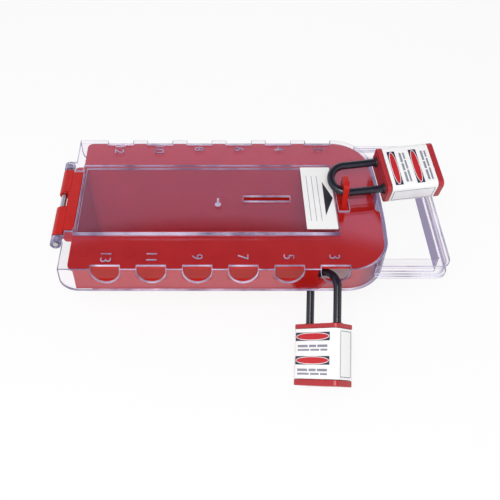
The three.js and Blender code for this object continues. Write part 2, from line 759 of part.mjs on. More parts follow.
function addPadlock(prefix, { a, w, across }, place) {
  const group = new THREE.Group();
  const basis = new THREE.Matrix4().makeBasis(w, across, a.clone().negate());
  group.quaternion.setFromRotationMatrix(basis);
  group.position.copy(place);
  add(group, `${prefix}_shackle`, shackle(), blackCoating);
  add(group, `${prefix}_toe_guide`, guide(toeX), blackCoating);
  add(group, `${prefix}_heel_guide`, guide(heelX), blackCoating);
  add(group, `${prefix}_top_cap`, topCap(), crimsonPlastic);
  add(group, `${prefix}_body`, bodyCore(), crimsonPlastic);
  add(group, `${prefix}_label_wrap`, labelWrap(), whiteVinyl);
  add(group, `${prefix}_bottom_cap`, bottomCap(), crimsonPlastic);
  add(group, `${prefix}_cylinder`, cylinderShell(), brass);
  add(group, `${prefix}_key_plug`, keyPlug(), brass);
  pinZs.forEach((z, i) => {
    add(group, `${prefix}_key_pin_${i + 1}`, pin(keyPinStart, keyPinLength, z), brass);
    add(group, `${prefix}_driver_pin_${i + 1}`, pin(plugRadius + gap, driverPinLength, z), steel);
  });
  add(group, `${prefix}_cam`, cam(), steel);
  add(group, `${prefix}_toe_ball`, lockingBall(-1), steel);
  add(group, `${prefix}_heel_ball`, lockingBall(1), steel);
  add(group, `${prefix}_shackle_spring`, shackleSpring(), steel);
  box.add(group);
}

// Padlock 1 hangs in the eye by its toe leg and lies on the handle.
const axes1 = lockAxes(lock1Yaw, lock1Pitch, lock1Roll);
const place1 = new THREE.Vector3(eyeX, eyeHoleY + lock1Shift, coverTop + eyeHoleRise)
  .addScaledVector(axes1.a, lock1Reach)
  .addScaledVector(axes1.w, shackleSpacing / 2);
addPadlock('padlock_1', axes1, place1);

// Padlock 2 goes through the last hole of the front row and under the skirts, and lies on the bench.
const axes2 = lockAxes(lock2Yaw, lock2Pitch, lock2Roll);
const place2 = new THREE.Vector3(
  holeXs[lock2Hole] + lock2BendX,
  -halfWidth + lock2BendY,
  coverTop - notchDepth + lock2BendZ,
).addScaledVector(axes2.a, shackleStraight);
addPadlock('padlock_2', axes2, place2);

export default box;
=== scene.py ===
"""Looks of a group lockout box: red tray, clear hinged cover with a handle, and two keyed safety padlocks.

Lengths in the classes are millimetres in the part's own frame; meshes are made in metres.
"""

from __future__ import annotations

import logging
import math
from dataclasses import dataclass
from enum import Enum
from typing import Callable

import bmesh
import bpy
from mathutils import Matrix, Vector


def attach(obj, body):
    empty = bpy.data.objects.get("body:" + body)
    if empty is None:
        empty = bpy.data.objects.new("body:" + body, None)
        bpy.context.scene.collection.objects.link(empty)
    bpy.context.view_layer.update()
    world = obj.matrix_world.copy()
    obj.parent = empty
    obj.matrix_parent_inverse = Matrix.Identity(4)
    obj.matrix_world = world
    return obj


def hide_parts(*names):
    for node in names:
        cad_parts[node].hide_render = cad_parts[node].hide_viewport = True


LOG = logging.getLogger("lockout_box")
MM = 0.001
SHARP_ANGLE = math.radians(28)
Pair = tuple[float, float]
Triple = tuple[float, float, float]
Sides = tuple[float, float, float, float]
Colour = Triple
Outline = list[Pair]
Mesh = bmesh.types.BMesh
Node = bpy.types.Node
Socket = bpy.types.NodeSocket
Solid = bpy.types.Object

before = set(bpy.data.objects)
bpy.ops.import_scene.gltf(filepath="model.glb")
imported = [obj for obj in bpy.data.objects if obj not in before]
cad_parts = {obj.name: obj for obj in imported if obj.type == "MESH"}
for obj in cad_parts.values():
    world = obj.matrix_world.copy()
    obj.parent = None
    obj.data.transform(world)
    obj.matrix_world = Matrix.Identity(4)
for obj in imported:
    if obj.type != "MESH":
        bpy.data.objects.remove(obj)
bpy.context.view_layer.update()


class Along(Enum):
    """Which axis an outline is pushed along."""

    X = "x"
    Y = "y"
    Z = "z"


class Body(Enum):
    """The rigid bodies of the box; a padlock's are named after the padlock."""

    TRAY = "tray"
    COVER = "cover"


class Work(Enum):
    """What one solid does to another."""

    JOIN = "UNION"
    CUT = "DIFFERENCE"


class Look(Enum):
    """The material slots of a clear piece."""

    BROAD = 0
    NARROW = 1
    # Painted shade of thick plastic seen through at a slant.
    PAINTED_SHADE = 2


# Outlines, in millimetres.


def arc(cx: float, cy: float, radius: float, start: float, end: float, steps: int) -> Outline:
    """Points of a circular arc, both ends included.

    Args:
        cx: Centre, first coordinate.
        cy: Centre, second coordinate.
        radius: Radius.
        start: First angle in degrees.
        end: Last angle in degrees.
        steps: Number of segments.

    Returns:
        The points in order.
    """
    angles = [math.radians(start + (end - start) * i / steps) for i in range(steps + 1)]
    return [(cx + radius * math.cos(a), cy + radius * math.sin(a)) for a in angles]


def rounded(x0: float, x1: float, y0: float, y1: float, radii: float | Sides, steps: int = 10) -> Outline:
    """A rectangle with rounded corners.

    Args:
        x0: Lower first coordinate.
        x1: Upper first coordinate.
        y0: Lower second coordinate.
        y1: Upper second coordinate.
        radii: The corners' radius, or one for each: low-low, high-low, high-high, low-high.
        steps: Segments in each corner.

    Returns:
        The outline, anticlockwise.
    """
    corners = [(x0, y0, 1, 1, 180), (x1, y0, -1, 1, 270), (x1, y1, -1, -1, 0), (x0, y1, 1, -1, 90)]
    outline: Outline = []
    for (x, y, sx, sy, start), r in zip(corners, radii if isinstance(radii, tuple) else (radii,) * 4):
        outline += arc(x + sx * r, y + sy * r, r, start, start + 90, steps) if r > 0 else [(x, y)]
    return outline


# Solids: temporary objects that are cut and joined before they become pieces.


def extruded(outline: Outline, low: float, high: float, along: Along = Along.Z) -> Solid:
    """A closed prism.

    Args:
        outline: Its cross-section. For Z it is drawn in X and Y, for Y in X and Z, for X in Y and Z.
        low: Where it starts.
        high: Where it ends.
        along: The axis it is pushed along.

    Returns:
        A new object whose mesh is in metres.
    """
    place = {
        Along.Z: lambda u, v, w: (u, v, w),
        Along.Y: lambda u, v, w: (u, w, v),
        Along.X: lambda u, v, w: (w, u, v),
    }[along]
    bm = bmesh.new()
    rings = [[bm.verts.new(Vector(place(u, v, w)) * MM) for u, v in outline] for w in (low, high)]
    for ring in rings:
        bm.faces.new(ring)
    skin(bm, *rings)
    return from_bmesh(bm)


def block(
    x0: float, x1: float, y0: float, y1: float, radii: float | Sides, low: float, high: float,
    along: Along = Along.Z, steps: int = 10,
) -> Solid:
    """A rounded rectangle pushed along an axis."""
    return extruded(rounded(x0, x1, y0, y1, radii, steps), low, high, along)


def rod(
    cx: float, cy: float, radius: float, low: float, high: float, along: Along = Along.Z, sides: int = 64
) -> Solid:
    """A circle pushed along an axis."""
    return extruded(arc(cx, cy, radius, 0, 360, sides)[:-1], low, high, along)


def skin(bm: Mesh, first: list[bmesh.types.BMVert], second: list[bmesh.types.BMVert]) -> None:
    """Adds the faces between two closed rings.

    Args:
        bm: The mesh that they belong to.
        first: One ring's points.
        second: The other's, as many.
    """
    for i in range(len(first)):
        j = (i + 1) % len(first)
        bm.faces.new((first[i], first[j], second[j], second[i]))


def lofted(sections: list[list[Vector]]) -> Solid:
    """A closed solid through a row of sections.

    Args:
        sections: The points of each in millimetres, all as many.

    Returns:
        A new object whose mesh is in metres.
    """
    bm = bmesh.new()
    rings = [[bm.verts.new(point * MM) for point in section] for section in sections]
    for first, second in zip(rings, rings[1:]):
        skin(bm, first, second)
    bm.faces.new(rings[0])
    bm.faces.new(rings[-1])
    return from_bmesh(bm)


def linked(name: str, data: bpy.types.ID) -> Solid:
    """Puts an object with this data into the scene.

    Args:
        name: The object's name.
        data: Its mesh, curve, lamp or camera.

    Returns:
        The object.
    """
    obj = bpy.data.objects.new(name, data)
    bpy.context.scene.collection.objects.link(obj)
    return obj


def from_bmesh(bm: Mesh) -> Solid:
    """Turns a bmesh into an object with its faces pointing out.

    Args:
        bm: The bmesh, which is freed.

    Returns:
        The object.
    """
    bmesh.ops.recalc_face_normals(bm, faces=bm.faces)
    mesh = bpy.data.meshes.new("solid")
    bm.to_mesh(mesh)
    bm.free()
    return linked("solid", mesh)


def discard(obj: Solid) -> None:
    """Removes a temporary object with its mesh."""
    bpy.data.meshes.remove(obj.data)


def gathered(solids: list[Solid]) -> Solid:
    """Puts separate solids that don't touch into one object.

    Args:
        solids: The solids, which are removed.

    Returns:
        The new object.
    """
    bm = bmesh.new()
    for solid in solids:
        bm.from_mesh(solid.data)
        discard(solid)
    return from_bmesh(bm)


def boolean(target: Solid, work: Work, *tools: Solid) -> Solid:
    """Joins solids to another, or cuts it with them, one after the other.

    Args:
        target: The solid that is kept and changed.
        work: What the others do to it.
        tools: The others, which are removed.

    Returns:
        The changed target.
    """
    for tool in tools:
        modifier = target.modifiers.new("join", "BOOLEAN")
        modifier.operation = work.value
        modifier.solver = "MANIFOLD"
        modifier.object = tool
        graph = bpy.context.evaluated_depsgraph_get()
        made = bpy.data.meshes.new_from_object(target.evaluated_get(graph))
        target.modifiers.clear()
        old = target.data
        target.data = made
        bpy.data.meshes.remove(old)
        discard(tool)
    return target


def cut(target: Solid, *tools: Solid) -> Solid:
    """Takes each tool out of the target."""
    return boolean(target, Work.CUT, *tools)


def join(target: Solid, *others: Solid) -> Solid:
    """Adds the others to the target."""
    return boolean(target, Work.JOIN, *others)


# Finishes.


class Nodes:
    """The node tree of a material or of the world, with short calls for what the looks need."""

    def __init__(self, owner: bpy.types.ID, output: str = "ShaderNodeOutputMaterial") -> None:
        """Empties a tree and gives it an output.

        Args:
            owner: The material or world.
            output: The kind of its output node.
        """
        owner.use_nodes = True
        self.tree = owner.node_tree
        self.tree.nodes.clear()
        self.output = self.add(output)

    def feed(self, entry: Socket, value: object) -> None:
        """Gives an input what it takes.

        Args:
            entry: The input.
            value: A constant, or the output to link it to.
        """
        if isinstance(value, Socket):
            self.tree.links.new(value, entry)
        else:
            entry.default_value = value

    def add(self, kind: str, **values: object) -> Node:
        """Adds a node.

        Args:
            kind: Its type.
            values: What its inputs take, by their names: constants or outputs.

        Returns:
            The node.
        """
        node = self.tree.nodes.new(kind)
        for key, value in values.items():
            self.feed(node.inputs[key.replace("_", " ")], value)
        return node

    def noise(self, scale: float, detail: float = 2.0, stretch: Colour = (1.0, 1.0, 1.0)) -> Socket:
        """Object-space noise.

        Args:
            scale: Features per metre.
            detail: Octaves.
            stretch: Scale on each axis, for brushed surfaces.

        Returns:
            The noise value.
        """
        where = self.add("ShaderNodeTexCoord").outputs["Object"]
        where = self.add("ShaderNodeMapping", Vector=where, Scale=stretch).outputs["Vector"]
        return self.add("ShaderNodeTexNoise", Vector=where, Scale=scale, Detail=detail).outputs["Fac"]

    def ranged(self, value: Socket, low: float, high: float, middle: Pair = (0.3, 0.7)) -> Socket:
        """Maps the middle range of noise, or another range, onto low to high."""
        ends = {"From_Min": middle[0], "From_Max": middle[1], "To_Min": low, "To_Max": high}
        return self.add("ShaderNodeMapRange", Value=value, **ends).outputs["Result"]

    def ramp(self, value: Socket, *stops: tuple[float, Colour]) -> Socket:
        """A colour chosen by a value.

        Args:
            value: What chooses.
            stops: Values in rising order, each with its colour.

        Returns:
            The colour.
        """
        node = self.add("ShaderNodeValToRGB", Fac=value)
        elements = node.color_ramp.elements
        for element, (position, colour) in zip(elements, (stops[0], stops[-1])):
            element.position, element.color = position, (*colour, 1.0)
        for position, colour in stops[1:-1]:
            elements.new(position).color = (*colour, 1.0)
        return node.outputs["Color"]

    def mottle(self, value: Socket, first: Colour, second: Colour) -> Socket:
        """Two colours mottled together by noise."""
        return self.ramp(value, (0.35, first), (0.65, second))

    def math(self, operation: str, *values: Socket | float) -> Socket:
        """Works on values with a Math node.

        Args:
            operation: The node's operation.
            values: Its inputs in order, sockets or constants.

        Returns:
            The result.
        """
        node = self.add("ShaderNodeMath")
        node.operation = operation
        for entry, value in zip(node.inputs, values):
            self.feed(entry, value)
        return node.outputs["Value"]

    def seen(self) -> Socket:
        """What the eye sees, at first hand, mirrored or through something.

        Returns:
            1 for such rays and 0 for the rest.
        """
        rays = self.add("ShaderNodeLightPath").outputs
        direct = self.math("MAXIMUM", rays["Is Camera Ray"], rays["Is Glossy Ray"])
        return self.math("MAXIMUM", direct, rays["Is Transmission Ray"])

    def bump(self, value: Socket, height: float, strength: float) -> Socket:
        """A normal raised by a value, at most by height metres."""
        return self.add("ShaderNodeBump", Height=value, Strength=strength, Distance=height).outputs["Normal"]

    def place(self, kind: str) -> bpy.types.NodeOutputs:
        """The X, Y and Z of a kind of texture coordinates."""
        where = self.add("ShaderNodeTexCoord").outputs[kind]
        return self.add("ShaderNodeSeparateXYZ", Vector=where).outputs

    def mixed(self, share: Socket, first: Node, second: Node) -> None:
        """Makes the surface of two shaders.

        Args:
            share: The share of the second.
            first: One shader.
            second: The other.
        """
        mix = self.add("ShaderNodeMixShader", Fac=share)
        self.feed(mix.inputs[1], first.outputs[0])
        self.feed(mix.inputs[2], second.outputs[0])
        self.feed(self.output.inputs["Surface"], mix.outputs["Shader"])


@dataclass(frozen=True)
class Surface:
    """What every finish has: a name, the slot that it fills, and a material made once."""

    name: str
    slot: str

    def material(self) -> bpy.types.Material:
        """Finds the finish's material, or makes it the first time.

        Returns:
            The material.
        """
        found = bpy.data.materials.get(f"{self.name}_finish")
        if not found:
            found = bpy.data.materials.new(f"{self.name}_finish")
            self.shade(Nodes(found))
        return found

    def shade(self, nodes: Nodes) -> None:
        """Builds the shader; each kind of finish does it its own way."""
        raise NotImplementedError


@dataclass(frozen=True)
class Finish(Surface):
    """Two close colours mottled together, a roughness range and a fine bump."""

    first: Colour
    second: Colour
    smoothest: float
    roughest: float
    metal: float = 0.0
    mottle: float = 60.0
    grain: float = 900.0
    grain_height: float = 0.00002
    grain_strength: float = 0.15
    stretch: Colour = (1.0, 1.0, 1.0)
    gloss: float = 0.5

    def shade(self, nodes: Nodes) -> None:
        """Builds the shader.

        Args:
            nodes: The material's nodes.
        """
        colour = nodes.noise(self.mottle, 3.0, self.stretch)
        grain = nodes.noise(self.grain, 2.0, self.stretch)
        shader = nodes.add(
            "ShaderNodeBsdfPrincipled",
            Base_Color=nodes.mottle(colour, self.first, self.second),
            Roughness=nodes.ranged(grain, self.smoothest, self.roughest),
            Normal=nodes.bump(grain, self.grain_height, self.grain_strength),
            Metallic=self.metal,
            Specular_IOR_Level=self.gloss,
            IOR=1.5,
        )
        nodes.feed(nodes.output.inputs["Surface"], shader.outputs["BSDF"])


@dataclass(frozen=True)
class ClearFinish(Surface):
    """Polished see-through plastic: each skin mirrors a little, more at a glance, and lets the rest through.

    What is seen straight through takes the tint; seen aslant it darkens to the deep colour, a painted shade.
    """

    tint: Colour
    deep: Colour
    mirror: Colour
    least: float
    glance: float
    roughness: float = 0.04
    turn: Pair = (0.42, 0.88)
    steepness: float = 4.0
    smudge: float = 35.0
    wave: float = 9.0
    wave_height: float = 0.0002

    def shade(self, nodes: Nodes) -> None:
        """Builds the shader.

        Args:
            nodes: The material's nodes.
        """
        skin = nodes.add(
            "ShaderNodeBsdfPrincipled",
            Base_Color=(*self.mirror, 1.0),
            Roughness=nodes.ranged(nodes.noise(self.smudge, 3.0), self.roughness * 0.5, self.roughness),
            Normal=nodes.bump(nodes.noise(self.wave, 1.0), self.wave_height, 0.5),
            Metallic=1.0,
        )
        facing = nodes.add("ShaderNodeLayerWeight", Blend=0.5).outputs["Facing"]
        # Painted shade: glancing views darken to violet in place of the dark surround seen bent through the
        # wall.
        colour = nodes.ramp(facing, (self.turn[0], self.tint), (self.turn[1], self.deep))
        through = nodes.add("ShaderNodeBsdfTransparent", Color=colour)
        rise = nodes.math("POWER", facing, self.steepness)
        nodes.mixed(nodes.math("MULTIPLY_ADD", rise, self.glance, self.least), through, skin)


@dataclass(frozen=True)
class PaintedEdgeLight(Surface):
    """The narrow faces of clear plastic, which gather light and glow pale: painted light, a pale lavender
    with darker streaks.
    """

    first: Colour
    second: Colour
    least: float
    most: float
    tint: Colour = (0.93, 0.92, 0.98)
    roughness: float = 0.12
    streaks: float = 45.0
    patches: float = 80.0

    def shade(self, nodes: Nodes) -> None:
        """Builds the shader.

        Args:
            nodes: The material's nodes.
        """
        through = nodes.add("ShaderNodeBsdfTransparent", Color=(*self.tint, 1.0))
        colour = nodes.mottle(nodes.noise(self.streaks, 3.0), self.first, self.second)
        pale = nodes.add("ShaderNodeBsdfPrincipled", Base_Color=colour, Roughness=self.roughness)
        nodes.mixed(nodes.ranged(nodes.noise(self.patches, 2.0), self.least, self.most), through, pale)


RED_PLASTIC = Finish(
    "red_plastic", "red_plastic", (0.47, 0.012, 0.008), (0.51, 0.015, 0.010), 0.16, 0.26, gloss=0.25
)
CLEAR_PLASTIC = ClearFinish(
    "clear_plastic", "clear_plastic", (0.99, 0.988, 0.995), (0.34, 0.30, 0.47), (0.96, 0.80, 0.95), 0.06, 0.5
)
# A darker violet see-through finish: painted shade in place of the surround seen bent through thick plastic.
CLEAR_PAINTED_SHADE = ClearFinish(
    "clear_painted_shade", "clear_plastic", (0.36, 0.32, 0.48), (0.22, 0.18, 0.32), (0.97, 0.96, 1.0), 0.05, 0.2
)
# Painted light and shade on clear edges: pale lavender mottled with dark violet streaks.
CLEAR_EDGE_PAINTED_LIGHT = PaintedEdgeLight("clear_edge_painted_light", "clear_plastic", (0.16, 0.14, 0.27), (0.70, 0.66, 0.88), 0.60, 0.92)
CRIMSON_PLASTIC = Finish(
    "crimson_plastic", "crimson_plastic", (0.40, 0.020, 0.028), (0.43, 0.024, 0.032), 0.30, 0.42
)
LABEL_VINYL = Finish(
    "label_vinyl", "label_vinyl", (0.86, 0.86, 0.85), (0.89, 0.89, 0.88), 0.30, 0.40, grain=400.0
)
INK_BLACK = Finish("ink_black", "label_vinyl", (0.012, 0.012, 0.018), (0.016, 0.016, 0.024), 0.35, 0.45)
INK_NAVY = Finish("ink_navy", "label_vinyl", (0.020, 0.018, 0.060), (0.025, 0.022, 0.070), 0.35, 0.45)
INK_RED = Finish("ink_red", "label_vinyl", (0.50, 0.012, 0.020), (0.54, 0.016, 0.024), 0.35, 0.45)
INK_GREY = Finish("ink_grey", "label_vinyl", (0.24, 0.24, 0.30), (0.28, 0.28, 0.34), 0.35, 0.45)
BLACK_COATING = Finish(
    "black_coating", "black_coating", (0.010, 0.010, 0.018), (0.014, 0.014, 0.024), 0.16, 0.30
)
BLACK_PLASTIC = Finish(
    "black_plastic", "black_plastic", (0.016, 0.016, 0.020), (0.022, 0.022, 0.028), 0.35, 0.50
)
BRIGHT_STEEL = Finish(
    "bright_steel", "bright_steel", (0.50, 0.50, 0.50), (0.58, 0.58, 0.57), 0.26, 0.40, metal=1.0,
    stretch=(1.0, 0.05, 1.0),
)
LOCK_STEEL = Finish(
    "lock_steel", "lock_steel", (0.46, 0.46, 0.47), (0.54, 0.54, 0.55), 0.25, 0.40, metal=1.0
)
SPRING_STEEL = Finish(
    "spring_steel", "spring_steel", (0.36, 0.36, 0.38), (0.44, 0.44, 0.46), 0.25, 0.38, metal=1.0
)
BRASS = Finish("brass", "brass", (0.56, 0.42, 0.18), (0.64, 0.49, 0.22), 0.22, 0.36, metal=1.0)
INNER_FINISHES = {"body": CRIMSON_PLASTIC, "key_pin": BRASS, "shackle_spring": SPRING_STEEL}


def piece(
    obj: Solid,
    name: str,
    body: str,
    finish: Surface,
    stands_for: tuple[str, ...] = (),
    edge: float = 0.3,
    place: Matrix | None = None,
) -> None:
    """Makes a solid a finished piece of the object.

    Args:
        obj: The solid.
        name: The piece's name.
        body: The rigid body it rides on.
        finish: Its surface.
        stands_for: CAD nodes that it stands for.
        edge: Width of its rounded edges, in millimetres; 0 leaves them sharp.
        place: Where a piece built in its own frame goes.
    """
    if place is not None:
        obj.data.transform(place)
    obj.name = name
    obj.data.name = name
    obj.data.materials.clear()
    obj.data.materials.append(finish.material())
    obj.data.shade_smooth()
    obj.data.set_sharp_from_angle(angle=SHARP_ANGLE)
    if edge > 0:
        bevel = obj.modifiers.new("rounded_edges", "BEVEL")
        bevel.width = edge * MM
        bevel.segments = 2
        bevel.limit_method = "ANGLE"
        bevel.angle_limit = SHARP_ANGLE
        bevel.harden_normals = True
        bevel.use_clamp_overlap = False
    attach(obj, body)
    if stands_for:
        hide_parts(*stands_for)
    LOG.info("%s: %d faces", name, len(obj.data.polygons))


@dataclass
class Plan:
    """Sizes that the tray and the cover share, and the tools that both need."""

    pitch: float = 36.0
    per_row: int = 6
    top: float = 80.0
    wall: float = 2.0
    half_width: float = 77.4
    left: float = -127.0
    right: float = 135.0
    corner: float = 34.0
    arch: float = 1.4
    arch_steps: int = 12
    skirt_bottom: float = 53.0
    hinge_x: float = -133.0
    hinge_z: float = 75.5
    pin_radius: float = 2.4
    pin_play: float = 0.3
    notch_half: float = 11.25

    @property
    def holes(self) -> list[float]:
        """Where the shackle holes are along each row."""
        return [(i - (self.per_row - 1) / 2) * self.pitch for i in range(self.per_row)]

    def at_holes(self, tool: Callable[[float, int], Solid]) -> Solid:
        """A tool at every hole, made for its place and its row: -1 for the front, 1 for the rear."""
        return gathered([tool(x, side) for x in self.holes for side in (-1, 1)])

    def pin_bore(self) -> Solid:
        """The tool that bores the tray and the cover for the hinge pin."""
        return rod(self.hinge_x, self.hinge_z, self.pin_radius + self.pin_play, -60, 60, Along.Y, 48)

    def inset(self, x: float, y: float) -> float:
        """How far a point lies inside the cover's plan.

        Args:
            x: The point's place along the box.
            y: Its place across.

        Returns:
            The distance in millimetres; negative is outside.
        """
        across = abs(y)
        past_x, past_y = x - (self.right - self.corner), across - (self.half_width - self.corner)
        if past_x > 0 and past_y > 0:
            return self.corner - math.hypot(past_x, past_y)
        bow = self.arch * max(0.0, 1 - (across / (self.half_width - self.corner)) ** 2)
        return min(self.half_width - across, self.right + bow - x)

    def outline(self, left: float, inset: float, left_corner: float = 0.0) -> Outline:
        """The box's plan, drawn inset from the cover's outside.

        Args:
            left: Its left end.
            inset: How far inside the cover's outside it lies.
            left_corner: Radius of its left corners.

        Returns:
            The outline, anticlockwise.
        """
        right, half, r = self.right - inset, self.half_width - inset, self.corner - inset
        inner, edge = left + left_corner, half - left_corner
        front = arc(inner, -edge, left_corner, 180, 270, 6) if left_corner else [(left, -half)]
        front += arc(right - r, -half + r, r, -90, 0, 30)
        bow = []
        for i in range(1, self.arch_steps):
            share = i / self.arch_steps
            bow.append((right + 4 * self.arch * share * (1 - share), (half - r) * (2 * share - 1)))
        rear = arc(right - r, half - r, r, 0, 90, 30)
        rear += arc(inner, edge, left_corner, 90, 180, 6) if left_corner else [(left, half)]
        return front + bow + rear


@dataclass
class ClearCover:
    """The clear hinged cover with its raised panel, notches and carrying handle.

    Both slots are given by their sides and corner radius, the nub by its centre and radius, and each row of
    numbers by its first number and its place across.
    """

    plan: Plan
    panel_rise: float = 2.5
    panel_half: float = 41.0
    panel_left: float = -119.5
    panel_right: float = 97.0
    panel_rim: float = 3.0
    panel_corners: Pair = (1.5, 1.2)
    key_slot: tuple[float, ...] = (20.0, 59.0, -3.5, 1.5, 0.4)
    eye_slot: tuple[float, ...] = (99.5, 108.5, -13.0, 13.0, 1.0)
    notch_depth: float = 16.5
    notch_bite: float = 4.3
    notch_steps: int = 28
    heel_radius: float = 14.0
    flap_right: float = -118.5
    flap_half: float = 35.5
    flap_corner: float = 2.0
    ear_span: Pair = (40.7, 48.0)
    ear_radius: float = 4.5
    ear_neck: float = 4.0
    arm_inner: float = 64.0
    arm_outer: float = 72.0
    arm_root: float = 1.0
    arm_step: float = 6.0
    grip_inner: float = 172.5
    grip_outer: float = 181.8
    handle_top: float = 77.4
    handle_height: float = 15.4
    handle_corner: float = 9.6
    pocket: float = 2.6
    lip: float = 3.0
    number_size: float = 12.5
    number_relief: float = 0.2
    number_lift: float = 0.22
    number_shift: float = -0.5
    number_rows: tuple[tuple[int, float], ...] = ((13, -64.5), (12, 65.0))
    gate: Pair = (-1.5, -7.9)
    gate_radii: Pair = (13.2, 12.9)
    gate_line: float = 0.06
    nub: Triple = (-1.5, -8.6, 2.6)
    nub_rise: float = 0.35
    nub_tail: Sides = (-2.4, -0.6, -6.4, -1.0)
    nub_tail_rise: float = 0.2

    def notch(self, x: float, side: int) -> Solid:
        """The tool that cuts one shackle notch.

        Args:
            x: Its centre.
            side: -1 for the front row, 1 for the rear row.

        Returns:
            The tool.
        """
        plan = self.plan
        under = plan.top - plan.wall
        half = plan.notch_half
        points = [(x + half, plan.top + 1), (x - half, plan.top + 1)]
        for i in range(self.notch_steps + 1):
            turn = math.pi * (1 + i / self.notch_steps)
            deep = (self.notch_depth - plan.wall) * math.sin(turn)
            points.append((x + half * math.cos(turn), under + deep))
        low, high = sorted((side * (plan.half_width - self.notch_bite), side * (plan.half_width + 1)))
        return extruded(points, low, high, Along.Y)

    def heel(self) -> Solid:
        """The tool that rounds the lower left corner of both skirts.

        Returns:
            The tool.
        """
        plan = self.plan
        x = plan.left + self.heel_radius
        z = plan.skirt_bottom + self.heel_radius
        below = z - self.heel_radius - 1
        points = arc(x, z, self.heel_radius, 180, 270, 16)
        points += [(x, below), (plan.left - 1, below), (plan.left - 1, z)]
        return extruded(points, -plan.half_width - 1, plan.half_width + 1, Along.Y)

    def handle_path(self) -> list[tuple[Vector, Vector]]:
        """Stations along the handle's middle: from one root round the grip to the other.

        Returns:
            For each a point on the middle line and the way outward, as long as half the handle is wide.
        """
        plan = self.plan
        half_arm = (self.arm_outer - self.arm_inner) / 2
        half_grip = (self.grip_outer - self.grip_inner) / 2
        corner = self.handle_corner
        stations = []
        for side in (-1, 1):
            y = side * (self.arm_inner + half_arm)
            aside = abs(y) - (plan.half_width - plan.corner)
            root = plan.right - plan.corner + math.sqrt((plan.corner - self.arm_root) ** 2 - aside**2)
            out = Vector((0, side * half_arm, 0))
            run = [(Vector((root + self.arm_step * i, y, 0)), out) for i in range(6)]
            centre = Vector((self.grip_outer - corner, side * (self.arm_outer - corner), 0))
            for i in range(11):
                turn = math.radians(90 - 9 * i)
                out = Vector((math.cos(turn), side * math.sin(turn), 0))
                half = half_arm + (half_grip - half_arm) * i / 10
                run.append((centre + out * (corner - half), out * half))
            stations += run if side < 0 else run[::-1]
        return stations

    def handle(self) -> Solid:
        """The carrying handle: a bar with a channel in its outer side.

        Returns:
            The solid.
        """
        deep = self.handle_height / 2
        lip = deep - self.lip
        middle = self.handle_top - deep
        rings = []
        for centre, out in self.handle_path():
            floor = 1 - self.pocket / out.length
            section = [(-1, -deep), (1, -deep), (1, -lip), (floor, -lip)]
            section += [(u, -z) for u, z in reversed(section)]
            rings.append([centre + out * u + Vector((0, 0, middle + z)) for u, z in section])
        return lofted(rings)

    def ear(self, side: int) -> Solid:
        """One hinge ear.

        Args:
            side: -1 for the front one, 1 for the rear one.

        Returns:
            The solid.
        """
        plan = self.plan
        span = sorted(side * y for y in self.ear_span)
        x, z = plan.hinge_x, plan.hinge_z
        barrel = rod(x, z, self.ear_radius, *span, Along.Y, 48)
        neck = block(x, x + self.ear_neck, z, plan.top, 0, *span, Along.Y)
        arm = block(x, plan.left + 1, plan.top - plan.wall, plan.top, 0, *span, Along.Y)
        return join(barrel, neck, arm)

    def shell(self) -> Solid:
        """The cover without its handle.

        Returns:
            The solid.
        """
        plan = self.plan
        top, wall, half = plan.top, plan.wall, self.panel_half
        inner_half, high = half - wall, top + self.panel_rise
        outer_corner, inner_corner = self.panel_corners
        cover = extruded(plan.outline(plan.left, 0), plan.skirt_bottom, top)
        inside = plan.outline(plan.left - 1, wall)
        cover = cut(cover, extruded(inside, plan.skirt_bottom - 1, top - wall))
        panel = block(self.panel_left, self.panel_right, -half, half, outer_corner, top - 0.5, high)
        cover = join(cover, panel)
        hollow_left, hollow_right = self.panel_left + self.panel_rim, self.panel_right - wall
        flap_corners = (0, self.flap_corner, self.flap_corner, 0)
        cover = cut(
            cover,
            block(hollow_left, hollow_right, -inner_half, inner_half, inner_corner, top - 3, high - wall),
            block(plan.left - 1, self.flap_right, -self.flap_half, self.flap_half, flap_corners, 50, 90),
            gathered([block(*slot, 70, 90) for slot in (self.key_slot, self.eye_slot)]),
            self.heel(),
            plan.at_holes(self.notch),
        )
        return cut(join(cover, self.ear(-1), self.ear(1)), plan.pin_bore())

    def clear_piece(self, solid: Solid, name: str, nodes: tuple[str, ...], edge: float) -> None:
        """Makes a solid a clear piece with painted pale edges and room for the painted shade of thick
        plastic.

        Args:
            solid: The solid.
            name: The piece's name.
            nodes: CAD nodes that it stands for.
            edge: Width of its rounded edges.
        """
        piece(solid, name, Body.COVER.value, CLEAR_PLASTIC, nodes, edge)
        for finish in (CLEAR_EDGE_PAINTED_LIGHT, CLEAR_PAINTED_SHADE):
            solid.data.materials.append(finish.material())
        # Rounded edges take the painted edge light.
        solid.modifiers["rounded_edges"].material = Look.NARROW.value

    def build(self) -> None:
        """Builds the cover, its handle and what is moulded on it."""
        plan = self.plan
        cover = self.shell()
        nodes = ("cover_top", "cover_front_skirt", "cover_rear_skirt", "cover_end_skirt")
        self.clear_piece(cover, "cover_shell", nodes, 0.5)
        for face in cover.data.polygons:
            # Narrow faces take the painted edge light.
            look = Look.NARROW
            if self.is_broad(face.center / MM, face.normal):
                # The right end's faces take the painted shade of plastic seen through at a slant.
                at_end = face.normal.x > 0.95 and face.center.x > (plan.right - plan.corner) * MM
                look = Look.PAINTED_SHADE if at_end else Look.BROAD
            face.material_index = look.value
        handle = self.handle()
        self.clear_piece(handle, "handle_bar", ("carry_handle",), 0.55)
        for face in handle.data.polygons:
            # The grip's inner faces take the painted shade of thick plastic.
            if face.normal.x < -0.8 and face.center.x > (self.grip_inner - 1) * MM:
                face.material_index = Look.PAINTED_SHADE.value
        self.numbers()
        self.gate_mark()

